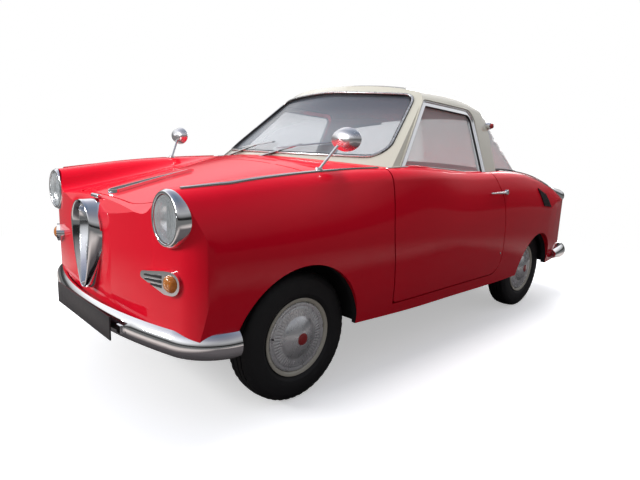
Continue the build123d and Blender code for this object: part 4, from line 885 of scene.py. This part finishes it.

# Wing strips, louvres, mirrors and wipers.
# Anodised strips along the wings' crests, black slats over the engine's air intake, chromed
# mirrors on slim stalks, and bright wipers.
anodised = finish("anodised_strip", (0.62, 0.62, 0.60), 0.22, metallic=1.0, spread=0.04, grain=60.0)
dressed("wing_strips", "wing_strips_plated", "shell", anodised, 30.0)
dressed("side_louvres", "side_louvres_black", "shell", black_inlay_and_slot_shade, 30.0)
MIRROR = Vector((0.599, -0.792, 0.933))
mirrors = smooth_copy("mirrors", "mirrors_plated", 40.0)
for vertex in mirrors.data.vertices:
    head = Vector((math.copysign(MIRROR.x, vertex.co.x), MIRROR.y, MIRROR.z))
    away = vertex.co - head
    if away.length < 0.075:
        vertex.co = head + Vector((away.x * 1.12, away.y * 1.14, away.z * 0.87))
mirror_shell = finish("mirror_shell", (0.74, 0.75, 0.76), 0.27, metallic=0.9, spread=0.02, grain=20.0)
settle(mirrors, "shell", mirror_shell)
mirror_glass = finish("mirror_glass", (0.92, 0.93, 0.94), 0.02, metallic=1.0, spread=0.01, grain=10.0)
inner_faces(mirrors, mirror_glass, lambda centre, normal: normal.y > 0.9 and centre.z > 0.88)
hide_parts("mirrors")
dressed("wipers", "wiper_arms", "shell", anodised, 30.0)

# Tyres.
# Cross-ply rubber tyres on 10-inch rims: four grooves round the tread, notched shoulders, and
# thin moulded rings on the plain side walls.
WHEELS = {
    "front_left": (0.545, -0.9775), "front_right": (-0.545, -0.9775),
    "rear_left": (0.535, 0.8225), "rear_right": (-0.535, 0.8225),
}
AXLE_HEIGHT = 0.2377
tyre_rubber = finish("tyre_rubber", (0.009, 0.009, 0.010), 0.66, spread=0.25, grain=35.0, bump=0.10,
                     bump_grain=600.0)
half_tyre = [
    (0.1325, 0.0455), (0.1440, 0.0458), (0.1475, 0.0470), (0.1500, 0.0500), (0.1560, 0.0535),
    (0.1580, 0.0548), (0.1592, 0.0556), (0.1610, 0.0556), (0.1622, 0.0556), (0.1680, 0.0572),
    (0.1760, 0.0578), (0.1880, 0.0579), (0.1990, 0.0572), (0.2060, 0.0556), (0.2085, 0.0556),
    (0.2110, 0.0548), (0.2200, 0.0510), (0.2280, 0.0455), (0.2325, 0.0405), (0.2338, 0.0370),
    (0.2345, 0.0335), (0.2295, 0.0322), (0.2295, 0.0286), (0.2352, 0.0274), (0.2363, 0.0210),
    (0.2366, 0.0150), (0.2308, 0.0138), (0.2308, 0.0102), (0.2372, 0.0090), (0.2376, 0.0040),
]
tyre_profile = half_tyre + [(radius, -place) for radius, place in reversed(half_tyre)]
TYRE_STEPS = 144
for name, (hub_x, hub_y) in WHEELS.items():
    centre = Vector((hub_x, hub_y, AXLE_HEIGHT))
    tyre = spun("tyre_" + name + "_moulded", tyre_profile, centre, (1 if hub_x > 0 else -1, 0, 0), TYRE_STEPS)
    for vertex in tyre.data.vertices:
        arm = vertex.co - centre
        radius, along = math.hypot(arm.y, arm.z), abs(arm.x)
        turn = math.atan2(arm.z, arm.y)
        notch = 1.0 if math.sin(turn * TYRE_STEPS / 3) > 0.5 else 0.0
        if 0.0335 < along < 0.0465 and radius > 0.225:
            shrink = 1.0 - 0.0022 * notch / radius
            vertex.co.y, vertex.co.z = centre.y + arm.y * shrink, centre.z + arm.z * shrink
        if radius > 0.233 and along < 0.0334:
            vertex.co.x += 0.0009 * math.sin(turn * TYRE_STEPS / 4)
    settle(tyre, "wheel_" + name, tyre_rubber)
    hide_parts("tyre_" + name)

# Wheels and hubcaps.
# Pressed steel rims sprayed cream, with polished fluted hubcaps that carry a plain red disc, and
# a cast brake drum behind.
hubcap_silver = finish("hubcap_silver", (0.78, 0.80, 0.81), 0.28, metallic=0.65, spread=0.05, grain=30.0,
                       rough_spread=0.15)
hubcap_red = finish("hubcap_red", (0.35, 0.010, 0.012), 0.35, spread=0.12, grain=60.0, coat=0.6)
cast_iron = finish("cast_iron", (0.045, 0.043, 0.042), 0.6, metallic=0.6, spread=0.3, grain=50.0, bump=0.4,
                   bump_grain=300.0)
rim_profile = [
    (0.1215, 0.0190), (0.1270, 0.0215), (0.1275, 0.0420), (0.1290, 0.0470), (0.1325, 0.0498),
    (0.1375, 0.0512), (0.1412, 0.0515), (0.1428, 0.0505), (0.1430, 0.0480), (0.1428, 0.0466),
    (0.1330, 0.0462), (0.1317, 0.0450), (0.1317, -0.0450), (0.1330, -0.0462), (0.1428, -0.0466),
    (0.1430, -0.0505), (0.1375, -0.0512), (0.1290, -0.0470), (0.1275, -0.0420), (0.1270, 0.0180),
    (0.1210, 0.0185), (0.0170, 0.0185), (0.0170, 0.0238), (0.1200, 0.0240), (0.1215, 0.0190),
]
FLUTES, FLUTE_START, FLUTE_LONG = 54, 0.0785, 0.0315
cap_profile = (
    [(0.1235, 0.0262), (0.1262, 0.0330), (0.1268, 0.0420), (0.1255, 0.0458), (0.1225, 0.0470),
     (0.1170, 0.0468), (0.1130, 0.0458), (0.1105, 0.0462)]
    + [(0.1095 - 0.0300 * i / 8, 0.0470 + 0.0030 * i / 8) for i in range(9)]
    + [(0.0775, 0.0505), (0.0740, 0.0535), (0.0680, 0.0572), (0.0580, 0.0622), (0.0460, 0.0668),
       (0.0340, 0.0705), (0.0250, 0.0727), (0.0225, 0.0732), (0.0215, 0.0726)])
badge_profile = [(0.0217, 0.0722), (0.0214, 0.0738), (0.0195, 0.0748), (0.0120, 0.0756), (0.0001, 0.0758)]
drum_profile = [(0.0220, 0.0120), (0.1035, 0.0120), (0.1035, -0.0215), (0.0980, -0.0215),
                (0.0980, 0.0070), (0.0220, 0.0070), (0.0220, 0.0120)]
for name, (hub_x, hub_y) in WHEELS.items():
    centre = Vector((hub_x, hub_y, AXLE_HEIGHT))
    out = (1 if hub_x > 0 else -1, 0, 0)
    body = "wheel_" + name
    rim = spun("rim_" + name, rim_profile, centre, out, 96)
    settle(rim, body, cream_enamel)
    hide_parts("wheel_" + name)
    cap = spun("hubcap_" + name, cap_profile, centre, out, FLUTES * 6)
    for vertex in cap.data.vertices:
        arm = vertex.co - centre
        radius = math.hypot(arm.y, arm.z)
        if FLUTE_START < radius < FLUTE_START + FLUTE_LONG:
            turn = math.atan2(arm.z, arm.y)
            swell = math.sin(math.pi * (radius - FLUTE_START) / FLUTE_LONG) ** 0.5
            vertex.co.x += out[0] * swell * (0.0021 * abs(math.cos(turn * FLUTES / 2)) - 0.0010)
    settle(cap, body, hubcap_silver)
    settle(spun("hubcap_disc_" + name, badge_profile, centre, out, 48), body, hubcap_red)
    settle(spun("brake_drum_" + name, drum_profile, centre, out, 48), body, cast_iron)
    stem_start = centre + Vector((out[0] * 0.034, -0.118, 0.020))
    stem_line = [stem_start + Vector((out[0] * along, back, 0))
                 for along, back in ((0, 0), (0.012, 0), (0.021, 0.001))]
    settle(bead("valve_stem_" + name, stem_line, False, 0.0032), body, rubber)

# Running gear and underside.
# Black-painted axles and knuckles, a sealed floor, a plain alloy power unit and a steel silencer.
axle_paint = finish("axle_paint", (0.020, 0.020, 0.021), 0.5, spread=0.3, grain=45.0, bump=0.25,
                    bump_grain=260.0)
engine_alloy = finish("engine_alloy", (0.42, 0.42, 0.41), 0.45, metallic=0.9, spread=0.2, grain=35.0,
                      bump=0.35, bump_grain=220.0)
silencer_steel = finish("silencer_steel", (0.20, 0.17, 0.15), 0.5, metallic=0.8, spread=0.3, grain=25.0,
                        bump=0.2, bump_grain=200.0)
for material, nodes in ((axle_paint, ("front_axle", "rear_axle", "steering_column")),
                        (cast_iron, ("knuckle_left", "knuckle_right")), (engine_alloy, ("engine",)),
                        (silencer_steel, ("exhaust",)), (black_sealer, ("floor_pan",))):
    for node in nodes:
        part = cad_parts[node]
        part.data.materials.clear()
        part.data.materials.append(material)

# Dashboard.
# A steel fascia in body colour with a bright strip, one round instrument in a hooded bezel, a
# glove-box lid, two groups of three knobs and a padded top roll.
dash = dressed("dashboard", "dashboard_painted", "shell", red_enamel, 32.0)
top_pad = finish("dash_top_vinyl", (0.035, 0.034, 0.033), 0.6, spread=0.2, grain=60.0, bump=0.4,
                 bump_grain=700.0)
inner_faces(dash, top_pad, lambda centre, normal: centre.z > 0.748)
FASCIA_Y = -0.4725
INTO_CABIN = (0, 1, 0)
strip_ends = [Vector((x, FASCIA_Y - 0.0005, 0.738)) for x in (-0.545, 0.545)]
settle(bead("fascia_strip", strip_ends, False, 0.0035), "shell", chrome)
bezel = [(0.0520, -0.004), (0.0560, 0.004), (0.0540, 0.0075), (0.0490, 0.0060), (0.0480, 0.0010)]
dial_face = finish("dial_face", (0.030, 0.030, 0.032), 0.35, spread=0.3, grain=40.0, coat=0.8)
ivory = finish("ivory_plastic", (0.66, 0.60, 0.46), 0.30, spread=0.05, grain=25.0, coat=0.4)
DIAL = Vector((0.275, FASCIA_Y, 0.682))
settle(spun("instrument_bezel", bezel, DIAL, INTO_CABIN, 48), "shell", chrome)
settle(spun("instrument_dial", [(0.0001, 0.0030), (0.030, 0.0028), (0.0488, 0.0022)], DIAL, INTO_CABIN, 48),
       "shell", dial_face)


def dial_line(name, degrees, start, end, rise, radius):
    """A thin bar on the dial, pointing away from its middle."""
    arm = Vector((math.sin(math.radians(degrees)), 0, math.cos(math.radians(degrees))))
    lift = Vector((0, rise, 0))
    return bead(name, [DIAL + arm * start + lift, DIAL + arm * end + lift], False, radius, sides=1)


marks = [dial_line("mark", -120 + number * 20, 0.032 if number % 2 == 0 else 0.037, 0.044, 0.0034, 0.0009)
         for number in range(13)]
marks.append(dial_line("needle", -120, 0.0, 0.038, 0.0046, 0.0012))
settle(joined("instrument_marks", marks), "shell", ivory)
knob_profile = [(0.0040, -0.0020), (0.0045, 0.0100), (0.0095, 0.0130), (0.0105, 0.0180), (0.0085, 0.0215),
                (0.0001, 0.0225)]
knobs = [spun("knob", knob_profile, Vector((x, FASCIA_Y, 0.668)), INTO_CABIN, 24)
         for x in (0.155, 0.115, 0.075, -0.075, -0.115, -0.155)]
settle(joined("fascia_knobs", knobs), "shell", ivory)
glove = block("glove_box_lid", (-0.34, FASCIA_Y + 0.001, 0.672), (0.27, 0.008, 0.092))
rounded(glove, 0.0035, 4, 40)
settle(glove, "shell", red_enamel)
settle(spun("glove_box_knob", knob_profile, Vector((-0.34, FASCIA_Y + 0.003, 0.705)), INTO_CABIN, 24),
       "shell", chrome)
# Steering wheel.
# A thin ivory rim moulded over wire, two flat spokes and a round boss with a bright horn ring.
HUB = Vector((0.275, -0.300, 0.690))
COLUMN = Vector((0, math.cos(math.radians(34)), math.sin(math.radians(34))))
RIM_RADIUS, HORN_RADIUS, FINGER_GRIPS = 0.188, 0.052, 36
AXLE_X = Vector((1, 0, 0))
cross = COLUMN.cross(AXLE_X).normalized()


def round_hub(radius, count, rise=0.0):
    """Points in a circle round the column."""
    turns = [math.tau * number / count for number in range(count)]
    return [HUB + COLUMN * rise + AXLE_X * (radius * math.cos(turn)) + cross * (radius * math.sin(turn))
            for turn in turns]


wheel_rim = bead("steering_rim", round_hub(RIM_RADIUS, 72), True, 0.0108, sides=5)
for vertex in wheel_rim.data.vertices:
    arm = vertex.co - HUB
    flat = arm - COLUMN * arm.dot(COLUMN)
    turn = math.atan2(flat.dot(cross), flat.x)
    if arm.dot(COLUMN) < -0.002:
        vertex.co += COLUMN * 0.0018 * max(math.cos(turn * FINGER_GRIPS), 0.0)
settle(wheel_rim, "steering_wheel", ivory)
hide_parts("steering_wheel")
boss = [(0.0260, -0.0255), (0.0300, -0.0120), (0.0340, 0.0020), (0.0330, 0.0062), (0.0270, 0.0085),
        (0.0255, 0.0075), (0.0150, 0.0100), (0.0001, 0.0108)]
settle(spun("steering_boss", boss, HUB, COLUMN, 48), "steering_wheel", ivory)


def cut_block(name, cuts):
    """A box one metre wide with rows of cuts across its faces."""
    piece = block(name, (0, 0, 0), (1, 1, 1))
    bpy.ops.object.mode_set(mode="EDIT")
    bpy.ops.mesh.subdivide(number_cuts=cuts)
    bpy.ops.object.mode_set(mode="OBJECT")
    return piece


spokes = []
for sign in (1, -1):
    spoke = cut_block("spoke", 6)
    for vertex in spoke.data.vertices:
        along = 0.5 + vertex.co.x
        width = 0.024 - 0.013 * math.sin(math.pi * along) ** 0.7
        place = HUB + Vector((sign, 0, 0)) * (0.026 + 0.156 * along) + cross * (vertex.co.y * width)
        vertex.co = place + COLUMN * (vertex.co.z * 0.005 - 0.0010 - 0.004 * math.sin(math.pi * along))
    faces_outward(spoke)
    bpy.ops.object.shade_smooth_by_angle(angle=math.radians(40))
    spokes.append(spoke)
settle(joined("steering_spokes", spokes), "steering_wheel", ivory)
horn = [bead("ring", round_hub(HORN_RADIUS, 40, 0.004), True, 0.0028)]
for sign in (1, -1):
    horn.append(bead("arm", [HUB + COLUMN * 0.003 + cross * (sign * 0.030),
                             HUB + COLUMN * 0.004 + cross * (sign * HORN_RADIUS)], False, 0.0022))
settle(joined("horn_ring", horn), "steering_wheel", chrome)

# Seats.
# Foam pads on tube frames in pale vinyl covers, with sewn pipes down the middle, plain bolsters
# and red piping along the seams.
seat_vinyl = finish("pale_seat_vinyl", (0.56, 0.52, 0.44), 0.48, spread=0.07, grain=30.0, bump=0.35,
                    bump_grain=700.0, sockets=(("Sheen Weight", 0.1),))
red_piping = finish("red_piping", (0.36, 0.012, 0.014), 0.42, spread=0.08, grain=40.0)


def pad(name, centre, width, length, thick, lean, channels, bolster):
    """A crowned pad with sewn channels. It leans about the car's width axis, in degrees."""
    piece = cut_block(name, 47)
    turn = Matrix.Rotation(math.radians(lean), 3, "X")
    for vertex in piece.data.vertices:
        x, y, z = vertex.co * 2
        round_x, round_y = ((1 - abs(way) ** 6) ** 0.25 if abs(way) < 1 else 0.0 for way in (x, y))
        belly = 0.55 + 0.45 * min(round_x, round_y)
        crown = 1.0 - 0.10 * x * x - 0.08 * y * y
        pull = 1.0 - 0.035 * (1 - abs(z)) * (abs(x) ** 8 + abs(y) ** 8)
        pull *= 1 - 0.05 * abs(x * y) ** 10
        pz = z * thick / 2 * belly * (crown if z > 0 else 1.0)
        if z > 0.2 and abs(x) < bolster and abs(y) < 0.86:
            wave = abs(math.sin(math.pi * channels * (x + bolster) / (2 * bolster)))
            pz += (wave ** 0.6 - 0.75) * 0.008 * min(1.0, (0.86 - abs(y)) * 8)
        vertex.co = Vector(centre) + turn @ Vector((x * width / 2 * pull, y * length / 2 * pull, pz))
    pick(piece)
    round_off = piece.modifiers.new("soft_edges", "SMOOTH")
    round_off.factor, round_off.iterations = 0.5, 2
    bpy.ops.object.modifier_apply(modifier="soft_edges")
    bpy.ops.object.shade_smooth()
    return settle(piece, "shell", seat_vinyl)


def piping(name, centre, width, length, height, lean):
    """A round welt along the top seam of a pad."""
    turn = Matrix.Rotation(math.radians(lean), 3, "X")
    points = []
    for number in range(96):
        a = math.tau * number / 96
        c, s = math.cos(a), math.sin(a)
        square = (abs(c) ** 6 + abs(s) ** 6) ** (-1 / 6)
        across, along = c * square * width / 2, s * square * length / 2
        points.append(Vector(centre) + turn @ Vector((across, along, height)))
    settle(bead(name, points, True, 0.0032), "shell", red_piping)


for side, seat_x in (("left", 0.275), ("right", -0.275)):
    # the back's top faces forward once it leans
    cushion_place, back_place = (seat_x, -0.010, 0.352), (seat_x, 0.197, 0.592)
    base = pad("seat_cushion_" + side, cushion_place, 0.428, 0.395, 0.118, 5.0, 6, 0.68)
    pad("seat_back_" + side, back_place, 0.420, 0.405, 0.086, -76.5, 6, 0.68)
    if side == "left":
        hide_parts("front_seats")
    piping("seat_cushion_piping_" + side, cushion_place, 0.418, 0.385, 0.040, 5.0)
    piping("seat_back_piping_" + side, back_place, 0.410, 0.395, 0.028, -76.5)
    tubes = []
    for x in (seat_x - 0.15, seat_x + 0.15):
        for radius, line in ((0.0110, ((-0.150, 0.2750), (0.150, 0.2750))),
                             (0.0080, ((-0.140, 0.2700), (-0.150, 0.3100))),
                             (0.0080, ((0.140, 0.2700), (0.160, 0.3300), (0.235, 0.6300)))):
            tubes.append(bead("tube", [Vector((x, y, z)) for y, z in line], False, radius))
    settle(joined("seat_frame_" + side, tubes), "shell", axle_paint)

bench_base = pad("bench_cushion", (0.0, 0.345, 0.356), 0.990, 0.190, 0.124, 3.0, 12, 0.90)
pad("bench_back", (0.0, 0.478, 0.575), 0.985, 0.315, 0.070, -82.0, 12, 0.90)
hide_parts("rear_bench")

# Handles.
# Chromed lever handles with a round push button behind them, and a short chromed grip over the
# grille for the bonnet.
for node, body in (("door_handle_left", "door_left"), ("door_handle_right", "door_right"),
                   ("bonnet_handle", "shell")):
    dressed(node, node + "_plated", body, chrome, 40.0)

# Belt strips.
# A bright rolled strip along the top of each door and on along the rear wing's crest to the tail
# lamp.
STRIP_X, STRIP_LEAN, STRIP_STEPS = 0.603, 0.95, 40


def crest(tree, sign, y, out):
    """The outermost point of a panel's shoulder at one place along the car."""
    across = Vector((-sign * STRIP_LEAN, 0, 1)).normalized()
    starts = [Vector((sign * 0.60, y, 0.74)) + out * 0.5 + across * (-0.25 + 0.50 * number / 79)
              for number in range(80)]
    places = [tree.ray_cast(start, -out)[0] for start in starts]
    return max((place for place in places if place), key=lambda place: place.dot(out), default=None)


for side, sign in (("left", 1), ("right", -1)):
    out = Vector((sign, 0, STRIP_LEAN)).normalized()
    for node, body, first, last in (("door_" + side, "door_" + side, -0.600, 0.338),
                                    ("rear_body", "shell", 0.372, 1.165)):
        tree = surface_of(panel_copies[node])
        points = []
        for number in range(STRIP_STEPS + 1):
            y = first + (last - first) * number / STRIP_STEPS
            point = crest(tree, sign, y, out)
            foot = tree.ray_cast(Vector((sign * STRIP_X, y, 1.0)), Vector((0, 0, -1)))[0]
            if point and foot:
                # the strip starts on the door's flat top and reaches the crest behind the door
                share = min(1.0, max(0.0, (y - 0.36) / 0.50))
                between = foot.lerp(point, share * share * (3 - 2 * share))
                point = tree.ray_cast(between + out * 0.2, -out)[0] or between
            if point:
                points.append(point + out * 0.0004)
        strip = bead("belt_strip_" + node, smoothed(points, 40), False, 0.0036)
        settle(strip, body, anodised)

# Door furniture.
# On each inner panel a window crank with an ivory knob, a bright release lever and a padded pull.
crank_boss = [(0.020, -0.004), (0.021, 0.004), (0.014, 0.010), (0.010, 0.020), (0.0001, 0.021)]
lever_boss = [(0.016, -0.004), (0.017, 0.004), (0.011, 0.012), (0.0001, 0.013)]
crank_knob = [(0.0001, 0.000), (0.006, 0.001), (0.009, 0.008), (0.0095, 0.020), (0.007, 0.026),
              (0.0001, 0.028)]
for side, sign in (("left", 1), ("right", -1)):
    tree = surface_of(panel_copies["door_" + side])
    places = []
    for y, z in ((-0.250, 0.530), (-0.120, 0.640), (-0.02, 0.600), (0.20, 0.600)):
        hit = tree.ray_cast(Vector((sign * 0.30, y, z)), Vector((sign, 0, 0)))[0]
        places.append(hit or Vector((sign * 0.60, y, z)))
    crank, lever, pull_front, pull_back = places
    inward = Vector((-sign, 0, 0))
    end = crank + inward * 0.022 + Vector((0, 0.035, -0.070))
    tip = lever + inward * 0.018 + Vector((0, -0.075, 0.004))
    furniture = [spun("boss", crank_boss, crank, inward, 28),
                 bead("arm", [crank + inward * 0.016, end], False, 0.0048),
                 spun("boss", lever_boss, lever, inward, 28),
                 bead("lever", [lever + inward * 0.010, tip], False, 0.0042)]
    settle(joined("door_furniture_" + side, furniture), "door_" + side, chrome)
    settle(spun("crank_knob_" + side, crank_knob, end, inward, 24), "door_" + side, ivory)
    slack = Vector((0, 0.02, 0))
    pull = [pull_front, pull_front + inward * 0.022 + slack,
            pull_front.lerp(pull_back, 0.5) + inward * 0.030, pull_back + inward * 0.022 - slack, pull_back]
    settle(bead("door_pull_" + side, even(pull, False, 0.01), False, 0.0085), "door_" + side, ivory)

bpy.context.view_layer.update()
